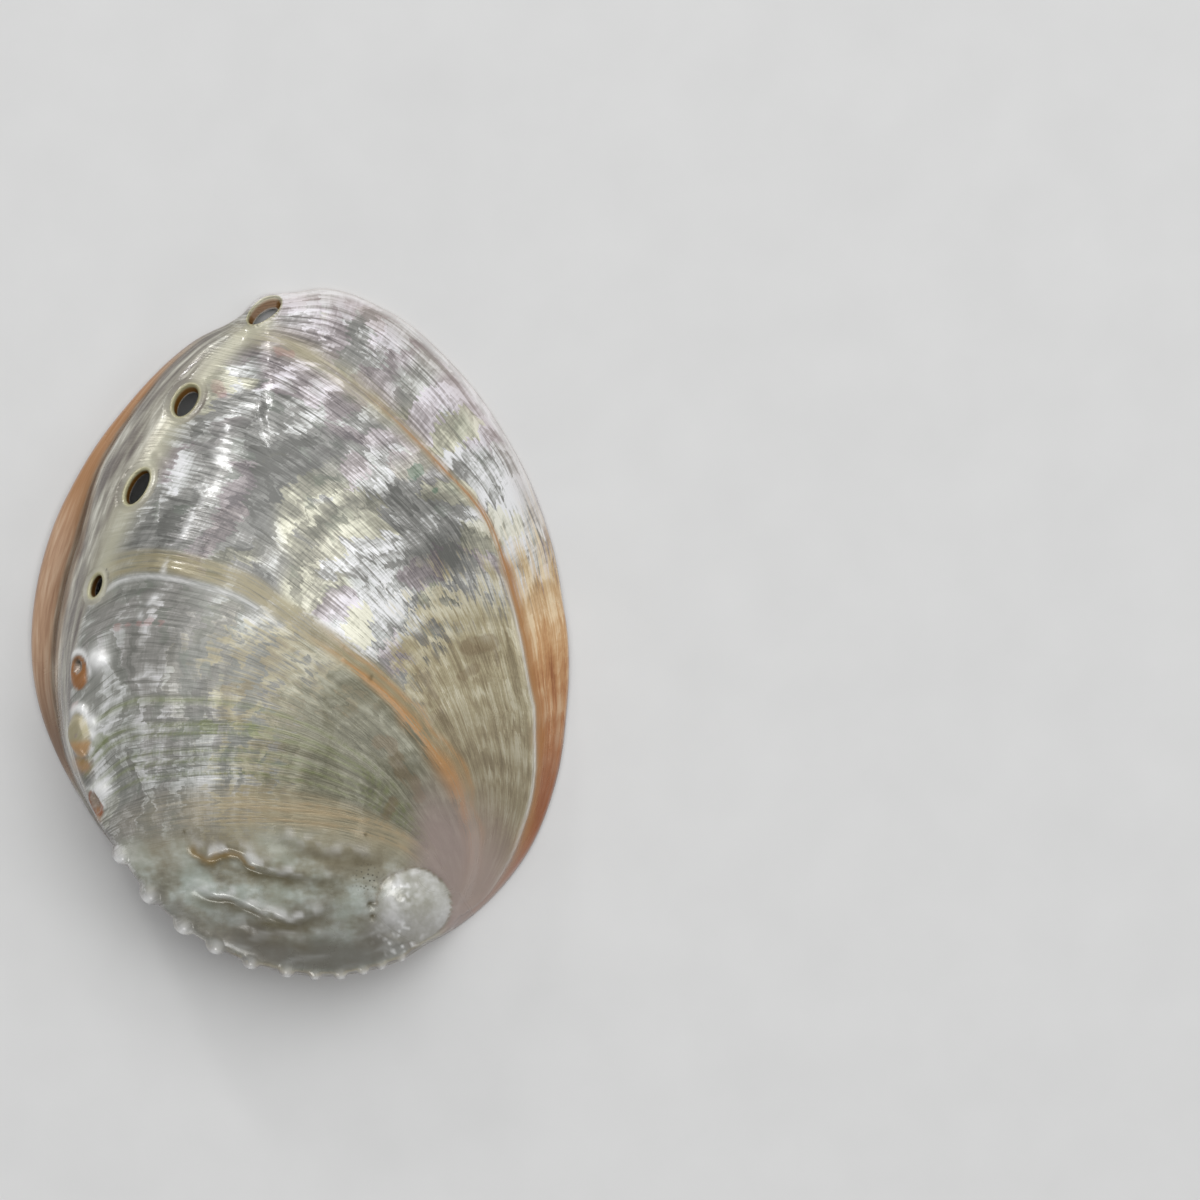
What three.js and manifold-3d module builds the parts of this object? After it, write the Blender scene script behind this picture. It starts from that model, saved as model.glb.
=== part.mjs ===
// A polished blacklip abalone shell, lying on its rim with the opening down.
// Millimetres, +Z up. +Y runs from the spire end to the growing edge, and
// the row of holes runs down the -X side.

import * as THREE from 'three';
import { mergeVertices } from 'three/addons/utils/BufferGeometryUtils.js';
import Module from 'manifold-3d';

// Driving dimensions
const shellLength = 140;
const domeHeight = 36;
const shellThickness = 2.3;
const wallThickness = 2.3;

// The dome is highest here, and falls away with these rates on each side
const domeTop = [ - 13, - 13.3 ];
const domeFallX = 0.0081;
const domeFallY = 0.0051;
const edgeBlend = 2.5;

// Relief on the dome fades out from this share of the way to the shoulder
const reliefFade = 0.93;

// Every ring around the shell is a table of [ angle in degrees, value ],
// counterclockwise from +X, read by a smooth closed curve.

// How far the rim reaches from the middle
const rimReach = [
	[ 0, 53.7 ], [ 20, 53.7 ], [ 40, 56.7 ], [ 60, 62.3 ], [ 75, 67.8 ], [ 86, 69.8 ],
	[ 92, 69.0 ], [ 100, 65.8 ], [ 110, 62.7 ], [ 130, 57.0 ], [ 150, 54.4 ], [ 170, 53.7 ],
	[ 190, 54.2 ], [ 208, 54.4 ], [ 218, 54.7 ], [ 230, 57.6 ], [ 240, 61.0 ], [ 252, 64.4 ],
	[ 264, 67.4 ], [ 277, 68.8 ], [ 286, 68.0 ], [ 293, 66.4 ], [ 300, 66.5 ], [ 315, 63.7 ],
	[ 330, 59.5 ], [ 345, 55.7 ],
];

// The shoulder that carries the holes: its distance in from the rim, and its height
const shoulderInset = [
	[ 0, 0.3 ], [ 88, 0.3 ], [ 96, 3.0 ], [ 106, 6.0 ], [ 116, 9.1 ], [ 138, 11.6 ],
	[ 167, 11.8 ], [ 189, 9.9 ], [ 205, 5.9 ], [ 220, 2.8 ], [ 231, 2.0 ], [ 250, 1.5 ],
	[ 262, 0.9 ], [ 275, 0.5 ], [ 290, 0.5 ], [ 298, 0.3 ],
];
const shoulderHeight = [
	[ 0, 1.6 ], [ 88, 1.6 ], [ 96, 3.5 ], [ 106, 7.0 ], [ 116, 10.5 ], [ 138, 16.0 ],
	[ 167, 20.5 ], [ 189, 23.2 ], [ 205, 24.0 ], [ 220, 23.6 ], [ 231, 22.6 ], [ 250, 20.0 ],
	[ 262, 18.0 ], [ 275, 16.0 ], [ 285, 14.0 ], [ 290, 11.5 ], [ 294, 7.5 ], [ 298, 3.2 ],
	[ 304, 1.6 ],
];

// The foot of the wall under the shoulder, where the flange starts
const grooveInset = [
	[ 0, 0.12 ], [ 90, 0.12 ], [ 115, 1.0 ], [ 138, 2.8 ], [ 160, 5.8 ], [ 181, 5.0 ],
	[ 195, 3.5 ], [ 210, 1.2 ], [ 225, 0.7 ], [ 262, 0.4 ], [ 290, 0.3 ], [ 298, 0.12 ],
];
const grooveHeight = [
	[ 0, 1.3 ], [ 88, 1.3 ], [ 100, 2.0 ], [ 120, 3.4 ], [ 150, 5.5 ], [ 190, 6.0 ],
	[ 215, 4.0 ], [ 285, 3.0 ], [ 298, 1.5 ],
];

// The underside: a flat band to stand on, then a shelf up to its inner edge
const flatWidth = [
	[ 0, 0.9 ], [ 88, 0.9 ], [ 110, 2.2 ], [ 140, 3.6 ], [ 230, 3.6 ], [ 285, 2.4 ], [ 310, 0.9 ],
];
const shelfInset = [
	[ 0, 1.7 ], [ 88, 1.9 ], [ 104, 4.0 ], [ 125, 6.8 ], [ 150, 9.0 ], [ 180, 9.4 ],
	[ 210, 8.8 ], [ 240, 8.2 ], [ 270, 7.4 ], [ 290, 6.4 ], [ 310, 5.2 ], [ 330, 3.0 ],
	[ 345, 1.8 ],
];
const shelfHeight = [
	[ 0, 0.25 ], [ 90, 0.25 ], [ 115, 1.5 ], [ 150, 2.6 ], [ 240, 2.6 ], [ 290, 1.8 ],
	[ 320, 1.2 ], [ 345, 0.3 ],
];

// Where the lip is thicker than elsewhere, how much further in its inside starts
const lipThickening = [ [ 0, 0 ], [ 270, 0 ], [ 300, 2.2 ], [ 320, 2.0 ], [ 345, 0 ] ];

// The outermost edge of the rim, and the foot a little further in
const rimTipHeight = [
	[ 0, 0.8 ], [ 90, 0.8 ], [ 140, 1.3 ], [ 200, 1.3 ], [ 285, 1.1 ], [ 300, 0.8 ],
];
const footInset = 0.4;

// The wall is part slope and part quarter round, and its inside runs lower
const wallRoundness = 0.5;
const innerWallDrop = 0.8;
const innerWallAboveShelf = 0.3;

// The flange between the groove and the rim ends this far in, at a multiple of the rim's height
const flangeInset = 0.04;
const flangeRise = 1.5;
const flangeCurve = 0.7;

// Open holes: place, length, width, and the turn of the length from +X
const openHoles = [
	{ x: - 6.6, y: 65.2, length: 8.2, width: 3.3, turn: 42 },
	{ x: - 22.8, y: 46.7, length: 6.6, width: 3.9, turn: 68 },
	{ x: - 32.6, y: 29.6, length: 7.6, width: 4.0, turn: 68 },
	{ x: - 40.9, y: 9.7, length: 4.4, width: 2.4, turn: 74 },
];
const rimCollarWidth = 1.0;
const rimCollarHeight = 0.7;
const rimCollarRoot = - 1;
const rimCollarShoulder = - 0.4;
const holeTilt = 14;
const boreDepth = 14;

// Sealed holes and the beads that follow them down to the spire: angle and radius
const beads = [
	[ 188.7, 2.1 ], [ 205.3, 2.3 ], [ 219.8, 2.1 ], [ 230.8, 2.0 ], [ 239.6, 2.0 ], [ 248.2, 1.9 ],
	[ 254.7, 1.8 ], [ 261.3, 1.7 ], [ 266.9, 1.5 ], [ 272.4, 1.4 ], [ 277.3, 1.3 ], [ 281.9, 1.2 ],
	[ 285.9, 1.1 ], [ 289.4, 1.0 ],
];
const beadOut = - 0.3;
const beadSink = 0.4;

// Growth marks, as curves over the dome seen from above
const latestStop = [
	[ - 7.5, 61 ], [ 8, 55 ], [ 20, 47 ], [ 30, 36 ], [ 38, 23 ], [ 44, 7 ], [ 47.5, - 9 ],
	[ 49, - 21 ], [ 48, - 33 ], [ 44, - 45 ], [ 39, - 53 ],
];
const stopDrop = 0.7;
const stopWidth = 1.2;
const olderStop = [
	[ - 40, 9 ], [ - 30, 12 ], [ - 10, 7 ], [ 6, - 3 ], [ 20, - 16 ], [ 28, - 27 ], [ 33, - 37 ], [ 36, - 47 ],
];
const olderStopHeight = 0.6;
const wrinkles = [
	[ [ - 24, - 38 ], [ - 12, - 36 ], [ 2, - 37 ], [ 16, - 40 ] ],
	[ [ - 24, - 45 ], [ - 14, - 43 ], [ - 4, - 46 ], [ 8, - 50 ] ],
	[ [ - 20, - 52 ], [ - 8, - 50 ], [ 2, - 54 ], [ 12, - 57 ] ],
];
const wrinkleHeight = 0.8;
const ridgeWidth = 2.2;

// The spire, a low round boss in the corner of the first whorls
const spire = { x: 23.0, y: - 54.0, radius: 7.6, height: 3.4, fullness: 0.75 };

// Faint ribs that follow the growth spiral from the spire
const ribPole = [ 23, - 52 ];
const ribTightness = 0.62;
const ribCount = 44;
const ribHeight = 0.18;

// How finely each surface is divided
const aroundSteps = 120;
const outerSteps = 19;
const wallSteps = 4;
const innerSteps = 8;
const collarSides = 16;
const boreSides = 18;
const beadSides = 8;
const beadRings = 6;
const lineSteps = 60;
const mergeDistance = 1e-5;

const toRadians = Math.PI / 180;

function endSlope( before, here, after, gapBefore, gapAfter ) {

	const slopeBefore = ( here - before ) / gapBefore;
	const slopeAfter = ( after - here ) / gapAfter;
	if ( slopeBefore * slopeAfter <= 0 ) return 0;
	return ( gapBefore + gapAfter ) / ( gapAfter / slopeBefore + gapBefore / slopeAfter );

}

function around( table, angle ) {

	const count = table.length;
	const turned = ( ( angle % 360 ) + 360 ) % 360;
	let index = count - 1;
	while ( index > 0 && table[ index ][ 0 ] > turned ) index --;
	const entry = ( step ) => {

		const place = index + step;
		const lap = Math.floor( place / count );
		const [ at, value ] = table[ place - lap * count ];
		return [ at + lap * 360, value ];

	};

	const [ a0, v0 ] = entry( - 1 );
	const [ a1, v1 ] = entry( 0 );
	const [ a2, v2 ] = entry( 1 );
	const [ a3, v3 ] = entry( 2 );
	const gap = a2 - a1;
	const slope1 = endSlope( v0, v1, v2, a1 - a0, gap );
	const slope2 = endSlope( v1, v2, v3, gap, a3 - a2 );
	const t = ( turned - a1 ) / gap;
	const t2 = t * t;
	const t3 = t2 * t;
	return ( 2 * t3 - 3 * t2 + 1 ) * v1 + ( t3 - 2 * t2 + t ) * gap * slope1
		+ ( 3 * t2 - 2 * t3 ) * v2 + ( t3 - t2 ) * gap * slope2;

}

function mix( a, b, t ) {

	return a + ( b - a ) * t;

}

function smooth( low, high, value ) {

	const t = Math.min( 1, Math.max( 0, ( value - low ) / ( high - low ) ) );
	return t * t * ( 3 - 2 * t );

}

// A point at a given distance in from the rim
function inside( angle, inset, height ) {

	const reach = around( rimReach, angle ) - inset;
	const x = reach * Math.cos( angle * toRadians );
	const y = reach * Math.sin( angle * toRadians );
	return new THREE.Vector3( x, y, height );

}

function capHeight( x, y ) {

	const dx = x - domeTop[ 0 ];
	const dy = y - domeTop[ 1 ];
	return domeHeight - domeFallX * dx * dx - domeFallY * dy * dy;

}

// The dome under one angle, at a share of the way from the middle to the
// shoulder: a shared cap, bent at its edge to meet the shoulder
function domePoint( angle, share ) {

	const edge = inside( angle, around( shoulderInset, angle ), around( shoulderHeight, angle ) );
	const x = edge.x * share;
	const y = edge.y * share;
	const bend = edge.z - capHeight( edge.x, edge.y );
	return new THREE.Vector3( x, y, capHeight( x, y ) + bend * share ** edgeBlend );

}

function traced( points ) {

	const curve = new THREE.CatmullRomCurve3( points.map( ( [ x, y ] ) => new THREE.Vector3( x, y, 0 ) ) );
	return curve.getPoints( lineSteps );

}

const latestLine = traced( latestStop );
const olderLine = traced( olderStop );
const wrinkleLines = wrinkles.map( traced );

// Distance to a traced line, with its side: positive on its right-hand side
function sideDistance( line, x, y ) {

	let nearest = Infinity;
	let side = 1;
	for ( let i = 0; i < line.length - 1; i ++ ) {

		const a = line[ i ];
		const b = line[ i + 1 ];
		const along = ( ( x - a.x ) * ( b.x - a.x ) + ( y - a.y ) * ( b.y - a.y ) )
			/ ( ( b.x - a.x ) ** 2 + ( b.y - a.y ) ** 2 );
		const t = Math.min( 1, Math.max( 0, along ) );
		const dx = x - mix( a.x, b.x, t );
		const dy = y - mix( a.y, b.y, t );
		const distance = Math.hypot( dx, dy );
		if ( distance < nearest ) {

			nearest = distance;
			side = ( b.x - a.x ) * dy - ( b.y - a.y ) * dx < 0 ? 1 : - 1;

		}

	}

	return nearest * side;

}

function ridge( line, x, y, width ) {

	const share = sideDistance( line, x, y ) / width;
	return Math.exp( - share * share );

}

function relief( x, y ) {

	const stop = sideDistance( latestLine, x, y );
	let height = - stopDrop * smooth( - stopWidth, stopWidth, stop );
	height += olderStopHeight * ridge( olderLine, x, y, ridgeWidth );
	for ( const line of wrinkleLines ) height += wrinkleHeight * ridge( line, x, y, ridgeWidth );
	const px = x - ribPole[ 0 ];
	const py = y - ribPole[ 1 ];
	const turn = Math.atan2( py, px ) + Math.log( Math.hypot( px, py ) + 1 ) / ribTightness;
	height += ribHeight * Math.sin( turn * ribCount );
	const fromSpire = Math.hypot( x - spire.x, y - spire.y ) / spire.radius;
	if ( fromSpire < 1 ) height += spire.height * ( 1 - fromSpire * fromSpire ) ** spire.fullness;
	return height;

}

// The outside of the dome at one angle and share of the way to the shoulder
function outerDome( angle, share ) {

	const point = domePoint( angle, share );
	const fade = 1 - smooth( reliefFade, 1, share );
	point.z += relief( point.x, point.y ) * fade;
	return point;

}

// The steep wall from the shoulder (share 0) to the groove (share 1)
function wallPoint( angle, share ) {

	const quarter = share * Math.PI / 2;
	const out = mix( share, Math.sin( quarter ), wallRoundness );
	const down = mix( share, 1 - Math.cos( quarter ), wallRoundness );
	const inset = mix( around( shoulderInset, angle ), around( grooveInset, angle ), out );
	const height = mix( around( shoulderHeight, angle ), around( grooveHeight, angle ), down );
	return inside( angle, inset, height );

}

function flangePoint( angle, share ) {

	const top = around( rimTipHeight, angle ) * flangeRise;
	const inset = mix( around( grooveInset, angle ), flangeInset, share );
	return inside( angle, inset, mix( around( grooveHeight, angle ), top, share ** flangeCurve ) );

}

// The inside of the dome runs a shell's thickness below its outside
function innerDome( angle, share ) {

	const reach = around( rimReach, angle );
	const outer = reach - around( shoulderInset, angle );
	const inner = outer - wallThickness - around( lipThickening, angle );
	const point = domePoint( angle, share * inner / outer );
	point.z -= shellThickness;
	return point;

}

function shelfEdge( angle ) {

	return inside( angle, around( shelfInset, angle ), around( shelfHeight, angle ) );

}

// The inside of the wall, which keeps above the shelf
function innerWall( angle, share ) {

	const outer = wallPoint( angle, share );
	const reach = Math.hypot( outer.x, outer.y ) - wallThickness - around( lipThickening, angle );
	const height = Math.max( outer.z - innerWallDrop, around( shelfHeight, angle ) + innerWallAboveShelf );
	return inside( angle, around( rimReach, angle ) - reach, height );

}

// One closed surface from rings of points, each ring joined to the next
function closedSurface( rings, firstPole, lastPole ) {

	const positions = [];
	const triangles = [];
	const add = ( point ) => positions.push( point.x, point.y, point.z ) / 3 - 1;
	const placed = rings.map( ( { count, pointAt } ) => {

		const indices = [];
		for ( let i = 0; i < count; i ++ ) indices.push( add( pointAt( 360 * i / count ) ) );
		return indices;

	} );

	const top = add( firstPole );
	const bottom = add( lastPole );
	const first = placed[ 0 ];
	const last = placed[ placed.length - 1 ];
	first.forEach( ( index, i ) => triangles.push( top, index, first[ ( i + 1 ) % first.length ] ) );
	for ( let r = 0; r < placed.length - 1; r ++ ) joinRings( placed[ r ], placed[ r + 1 ], triangles );
	last.forEach( ( index, i ) => triangles.push( bottom, last[ ( i + 1 ) % last.length ], index ) );

	const geometry = new THREE.BufferGeometry();
	geometry.setAttribute( 'position', new THREE.Float32BufferAttribute( positions, 3 ) );
	geometry.setIndex( triangles );
	return geometry;

}

// Triangles between two rings that may hold different numbers of points
function joinRings( upper, lower, triangles ) {

	let i = 0;
	let j = 0;
	while ( i < upper.length || j < lower.length ) {

		const a = upper[ i % upper.length ];
		const b = lower[ j % lower.length ];
		const upperNext = ( i + 1 ) / upper.length;
		const lowerNext = ( j + 1 ) / lower.length;
		if ( j < lower.length && ( i >= upper.length || lowerNext <= upperNext ) ) {

			triangles.push( a, b, lower[ ( j + 1 ) % lower.length ] );
			j ++;

		} else {

			triangles.push( a, b, upper[ ( i + 1 ) % upper.length ] );
			i ++;

		}

	}

}

// From the top of the dome over the shoulder and the rim, and back up the inside
function shellRings() {

	const full = aroundSteps;
	const half = full / 2;
	const quarter = full / 4;
	const rings = [];
	const addRing = ( count, pointAt ) => rings.push( { count, pointAt } );
	for ( let i = 1; i <= outerSteps; i ++ ) {

		const share = i / outerSteps;
		const count = share > 0.55 ? full : share > 0.28 ? half : quarter;
		addRing( count, ( angle ) => outerDome( angle, share ) );

	}

	for ( let i = 1; i <= wallSteps; i ++ ) addRing( full, ( angle ) => wallPoint( angle, i / wallSteps ) );
	addRing( full, ( angle ) => flangePoint( angle, 0.5 ) );
	addRing( full, ( angle ) => flangePoint( angle, 1 ) );
	addRing( full, ( angle ) => inside( angle, 0, around( rimTipHeight, angle ) ) );
	addRing( full, ( angle ) => inside( angle, footInset, 0 ) );
	addRing( full, ( angle ) => inside( angle, footInset + around( flatWidth, angle ), 0 ) );
	addRing( full, shelfEdge );
	for ( const share of [ 0.9, 0.45 ] ) addRing( full, ( angle ) => innerWall( angle, share ) );
	for ( let i = innerSteps; i >= 1; i -- ) {

		const share = i / innerSteps;
		addRing( share > 0.5 ? half : quarter, ( angle ) => innerDome( angle, share ) );

	}

	return rings;

}

const wasm = await Module();
wasm.setup();

function toSolid( geometry ) {

	geometry.deleteAttribute( 'normal' );
	geometry.deleteAttribute( 'uv' );
	const merged = mergeVertices( geometry, mergeDistance );
	return new wasm.Manifold( new wasm.Mesh( {
		numProp: 3,
		vertProperties: new Float32Array( merged.attributes.position.array ),
		triVerts: new Uint32Array( merged.index.array ),
	} ) );

}

function toGeometry( solid ) {

	const mesh = solid.getMesh();
	const geometry = new THREE.BufferGeometry();
	geometry.setAttribute( 'position', new THREE.Float32BufferAttribute( mesh.vertProperties, 3 ) );
	geometry.setIndex( Array.from( mesh.triVerts ) );
	return geometry;

}

function angleOf( x, y ) {

	return Math.atan2( y, x ) / toRadians;

}

// The height of the outer surface over a place on the shoulder or the dome
function surfaceHeight( x, y ) {

	const angle = angleOf( x, y );
	const shoulder = around( rimReach, angle ) - around( shoulderInset, angle );
	const reach = Math.hypot( x, y );
	if ( reach <= shoulder ) return outerDome( angle, reach / shoulder ).z;
	return around( shoulderHeight, angle );

}

// Places a shape made around +Z on a hole, turned to its length and tilted outward
function atHole( geometry, hole ) {

	geometry.rotateZ( hole.turn * toRadians );
	const outward = new THREE.Vector3( hole.x, hole.y, 0 ).normalize();
	const tiltAxis = new THREE.Vector3( - outward.y, outward.x, 0 );
	geometry.applyMatrix4( new THREE.Matrix4().makeRotationAxis( tiltAxis, holeTilt * toRadians ) );
	return geometry.translate( hole.x, hole.y, surfaceHeight( hole.x, hole.y ) );

}

function collar( hole ) {

	const outer = 1 + rimCollarWidth;
	const section = [
		[ 0, rimCollarRoot ], [ outer, rimCollarRoot ], [ outer, rimCollarShoulder ],
		[ outer - rimCollarWidth / 2, rimCollarHeight ], [ 0, rimCollarHeight ],
	];
	const profile = section.map( ( [ radius, height ] ) => new THREE.Vector2( radius, height ) );
	const geometry = new THREE.LatheGeometry( profile, collarSides ).rotateX( Math.PI / 2 );
	const stretchX = ( hole.length / 2 + rimCollarWidth ) / outer;
	const stretchY = ( hole.width / 2 + rimCollarWidth ) / outer;
	return toSolid( atHole( geometry.scale( stretchX, stretchY, 1 ), hole ) );

}

function bore( hole ) {

	const outline = new THREE.Shape().absellipse( 0, 0, hole.length / 2, hole.width / 2, 0, Math.PI * 2 );
	const options = { depth: boreDepth, curveSegments: boreSides / 2, bevelEnabled: false };
	const geometry = new THREE.ExtrudeGeometry( outline, options );
	return toSolid( atHole( geometry.translate( 0, 0, - boreDepth / 2 ), hole ) );

}

function bead( [ angle, radius ] ) {

	const inset = around( shoulderInset, angle ) - beadOut * radius;
	const place = inside( angle, inset, around( shoulderHeight, angle ) - beadSink * radius );
	return toSolid( new THREE.SphereGeometry( radius, beadSides, beadRings ).translate( ...place ) );

}

function shellGeometry() {

	let solid = toSolid( closedSurface( shellRings(), outerDome( 0, 0 ), innerDome( 0, 0 ) ) );
	for ( const hole of openHoles ) solid = solid.add( collar( hole ) );
	for ( const entry of beads ) solid = solid.add( bead( entry ) );
	for ( const hole of openHoles ) solid = solid.subtract( bore( hole ) );
	return toGeometry( solid );

}

// Puts the origin under the middle of the box and sets the length
function settle( geometry ) {

	geometry.computeBoundingBox();
	const { min, max } = geometry.boundingBox;
	geometry.translate( - ( min.x + max.x ) / 2, - ( min.y + max.y ) / 2, - min.z );
	const scale = shellLength / ( max.y - min.y );
	return geometry.scale( scale, scale, scale );

}

const nacre = new THREE.MeshStandardMaterial( { color: 0xb9b7a8, roughness: 0.3, metalness: 0.4 } );
const shell = new THREE.Mesh( settle( shellGeometry() ), nacre );
shell.name = 'shell';

const group = new THREE.Group();
group.add( shell );

export default group;
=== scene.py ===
# A polished blacklip abalone shell, lying on its rim with the opening down.
# Metres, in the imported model's frame: +Y runs from the spire end to the
# growing edge, +Z up through the dome, and the holes run down the -X side.

import math

import bpy
import numpy as np
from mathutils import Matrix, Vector


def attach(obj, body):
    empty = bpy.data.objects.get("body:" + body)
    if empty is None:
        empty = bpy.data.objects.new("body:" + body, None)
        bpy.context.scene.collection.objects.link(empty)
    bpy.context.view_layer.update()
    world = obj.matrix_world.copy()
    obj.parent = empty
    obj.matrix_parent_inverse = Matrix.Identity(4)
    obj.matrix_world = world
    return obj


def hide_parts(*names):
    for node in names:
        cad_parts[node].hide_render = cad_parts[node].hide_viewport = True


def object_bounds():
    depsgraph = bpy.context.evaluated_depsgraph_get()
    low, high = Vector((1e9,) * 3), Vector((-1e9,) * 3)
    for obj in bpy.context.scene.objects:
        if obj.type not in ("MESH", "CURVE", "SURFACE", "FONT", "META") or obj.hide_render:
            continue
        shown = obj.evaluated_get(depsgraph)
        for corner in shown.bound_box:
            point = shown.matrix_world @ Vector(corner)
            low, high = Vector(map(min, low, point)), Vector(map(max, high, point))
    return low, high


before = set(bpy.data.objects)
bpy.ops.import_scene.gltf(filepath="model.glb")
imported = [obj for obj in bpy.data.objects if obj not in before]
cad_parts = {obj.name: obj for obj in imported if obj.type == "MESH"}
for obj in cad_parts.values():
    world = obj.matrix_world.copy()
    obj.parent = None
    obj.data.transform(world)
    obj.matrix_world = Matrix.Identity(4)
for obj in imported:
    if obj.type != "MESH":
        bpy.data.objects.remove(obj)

CAD_LOW, CAD_HIGH = [tuple(corner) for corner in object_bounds()]

MM = 0.001

# The photograph: millimetres per pixel, and the pixel over the shell's middle
PIXEL_SIZE = 0.20086
PHOTO_MIDDLE = (300.5, 634.5)
PHOTO_SIZE = 1200

# The form of the shell in millimetres, as in the CAD solid
SHELL_THICKNESS = 2.3
WALL_THICKNESS = 2.3
DOME_HEIGHT = 36
DOME_TOP = (-13, -13.3)
DOME_FALL_X = 0.0081
DOME_FALL_Y = 0.0051
EDGE_BLEND = 2.5
WALL_ROUNDNESS = 0.5
INNER_WALL_DROP = 0.8
INNER_WALL_ABOVE_SHELF = 0.3
FLANGE_INSET = 0.04
FLANGE_RISE = 1.5
FLANGE_CURVE = 0.7
FOOT_INSET = 0.4

# Rings around the shell: angle in degrees counterclockwise from +X, and millimetres
RIM_REACH = [
    (0, 53.7), (8, 53.1), (20, 53.7), (40, 56.5), (60, 62.1), (75, 67.4), (86, 69.8), (92, 68.8),
    (95.5, 68.8), (98, 67.6), (100.4, 65.5), (110, 62.8), (130, 57.3), (150, 54.6), (170, 54.0), (190, 54.5),
    (208, 54.8), (218, 55.4), (230, 57.6), (240, 61.0), (252, 64.9), (264, 67.9), (277, 69.6), (286, 69.2),
    (293, 67.5), (300, 66.5), (315, 63.6), (330, 59.3), (345, 55.5),
]
SHOULDER_INSET = [
    (0, 0.3), (88, 0.3), (96, 3.0), (106, 6.0), (116, 9.1), (138, 11.6), (167, 11.8), (180, 10.2),
    (189, 8.7), (205, 4.3), (213, 2.6), (220, 1.3), (228, 0.6), (236, 0.3), (298, 0.3),
]
SHOULDER_HEIGHT = [
    (0, 1.6), (88, 1.6), (96, 3.5), (106, 7.0), (116, 10.5), (138, 16.0), (167, 20.5), (189, 23.2),
    (205, 24.0), (220, 23.6), (231, 22.6), (250, 20.0), (262, 18.0), (275, 16.0), (285, 14.0), (290, 11.5),
    (294, 7.5), (298, 3.2), (304, 1.6),
]
GROOVE_INSET = [
    (0, 0.12), (90, 0.12), (115, 1.0), (138, 2.8), (160, 5.8), (181, 5.0), (195, 3.5), (210, 1.2),
    (225, 0.7), (262, 0.4), (290, 0.3), (298, 0.12),
]
GROOVE_HEIGHT = [
    (0, 1.3), (88, 1.3), (100, 2.0), (120, 3.4), (150, 5.5), (190, 6.0), (215, 4.0), (285, 3.0), (298, 1.5),
]
FLAT_WIDTH = [(0, 0.9), (100, 0.9), (110, 2.2), (140, 3.6), (230, 3.6), (285, 2.4), (310, 0.9)]
SHELF_INSET = [
    (0, 1.7), (88, 1.6), (100, 1.9), (110, 4.4), (125, 6.8), (150, 9.0), (180, 9.4), (210, 8.8), (240, 8.2),
    (270, 7.4), (290, 6.4), (310, 5.2), (330, 3.0), (345, 1.8),
]
SHELF_HEIGHT = [
    (0, 0.25), (100, 0.25), (115, 1.3), (150, 2.6), (240, 2.6), (290, 1.8), (320, 1.2), (345, 0.3),
]
LIP_THICKENING = [(0, 0), (270, 0), (300, 2.2), (320, 2.0), (345, 0)]
RIM_TIP_HEIGHT = [(0, 0.8), (90, 0.8), (140, 1.3), (200, 1.3), (285, 1.1), (300, 0.8)]

# How finely the surface is divided: columns, rings, and the samples that the rings are taken from
AROUND_STEPS = 720
OUTER_RINGS = 124
INNER_RINGS = 68
DOME_SAMPLES = 90
WALL_SAMPLES = 40
BODY_SAMPLES = 150
FLANGE_SAMPLES = 12
EDGE_SAMPLES = 5
FOOT_SAMPLES = 4
INNER_WALL_SAMPLES = 30
BOWL_SAMPLES = 70
# Where the samples of the wall, the flange and the inner wall start or end, as shares of each
WALL_START = 0.02
FLANGE_START = 0.08
INNER_WALL_SPAN = (0.97, 0.03)
# How far the corners of the shoulder, the groove and the lining are rounded, in samples
ROUNDING_REACH = 4
SHOULDER_SOFTNESS = 2.2
GROOVE_SOFTNESS = 0.6
LINING_SOFTNESS = 1.2
# How many columns a ring skips, when it lies beyond each share of the way out
RING_STEPS = [(0.55, 1), (0.3, 2), (0.14, 4), (0, 12)]
# Where the columns stand closer, in degrees: around the first hole, with the width of that stretch
# and how much closer, and along the beads
FINE_HOLE = (96, 9, 1.1)
FINE_BEADS = (215, 230, 285, 300)
FINE_BEADS_CLOSENESS = 0.45
ANGLE_SAMPLES = 721

# Open holes: the pixel of the middle, the length, width and turn of the opening, how far
# around it the surface is made finer, and the inner end: how far it slips in, and its size
OPEN_HOLES = [
    dict(pixel=(264, 309.5), size=(8.0, 4.1), turn=43, margin=0.35, slip=1.6, inner=(6.2, 2.8)),
    dict(pixel=(186, 401), size=(7.0, 4.4), turn=68, margin=2.0, slip=0.8, inner=(6.4, 3.8)),
    dict(pixel=(138, 487), size=(7.7, 4.0), turn=68, margin=2.0, slip=0.3, inner=(7.4, 3.7)),
    dict(pixel=(97, 586), size=(4.5, 2.5), turn=74, margin=1.8, slip=0.2, inner=(4.2, 2.3)),
]
# Degrees that an open hole leans out from straight up, how deep the cut looks for the surface, and how
# far around the hole the surface is looked at
HOLE_LEAN = 22
HOLE_DEPTH = 9
HOLE_SURROUND = 3
# Where the rings around a hole lie, as shares of its margin, and down its bore
FINE_MARGINS = (1, 0.8, 0.62, 0.48, 0.37, 0.28, 0.2, 0.13, 0.07, 0.03, 0)
COARSE_MARGINS = (1, 0.45, 0.15, 0)
LINING_MARGIN = 1.2
BORE_SHARES = (0.12, 0.3, 0.55, 0.8)
COLLAR_HEIGHT = 0.32
COLLAR_WIDTH = 0.55
COLLAR_MIDDLE = 0.5
COLLAR_SPAN = (0.3, 1.0)
HOLE_EDGE_DROP = 0.45
HOLE_EDGE_WIDTH = 0.22
LINING_EDGE = 0.3
FIT_SPREAD = 0.7
# Rounds of evening out the points of a hole's first ring, and how many more for each next ring
FIRST_EVENING = 2
NEXT_EVENING = 6
# Farther than any point of the shell
FAR = 99

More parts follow.
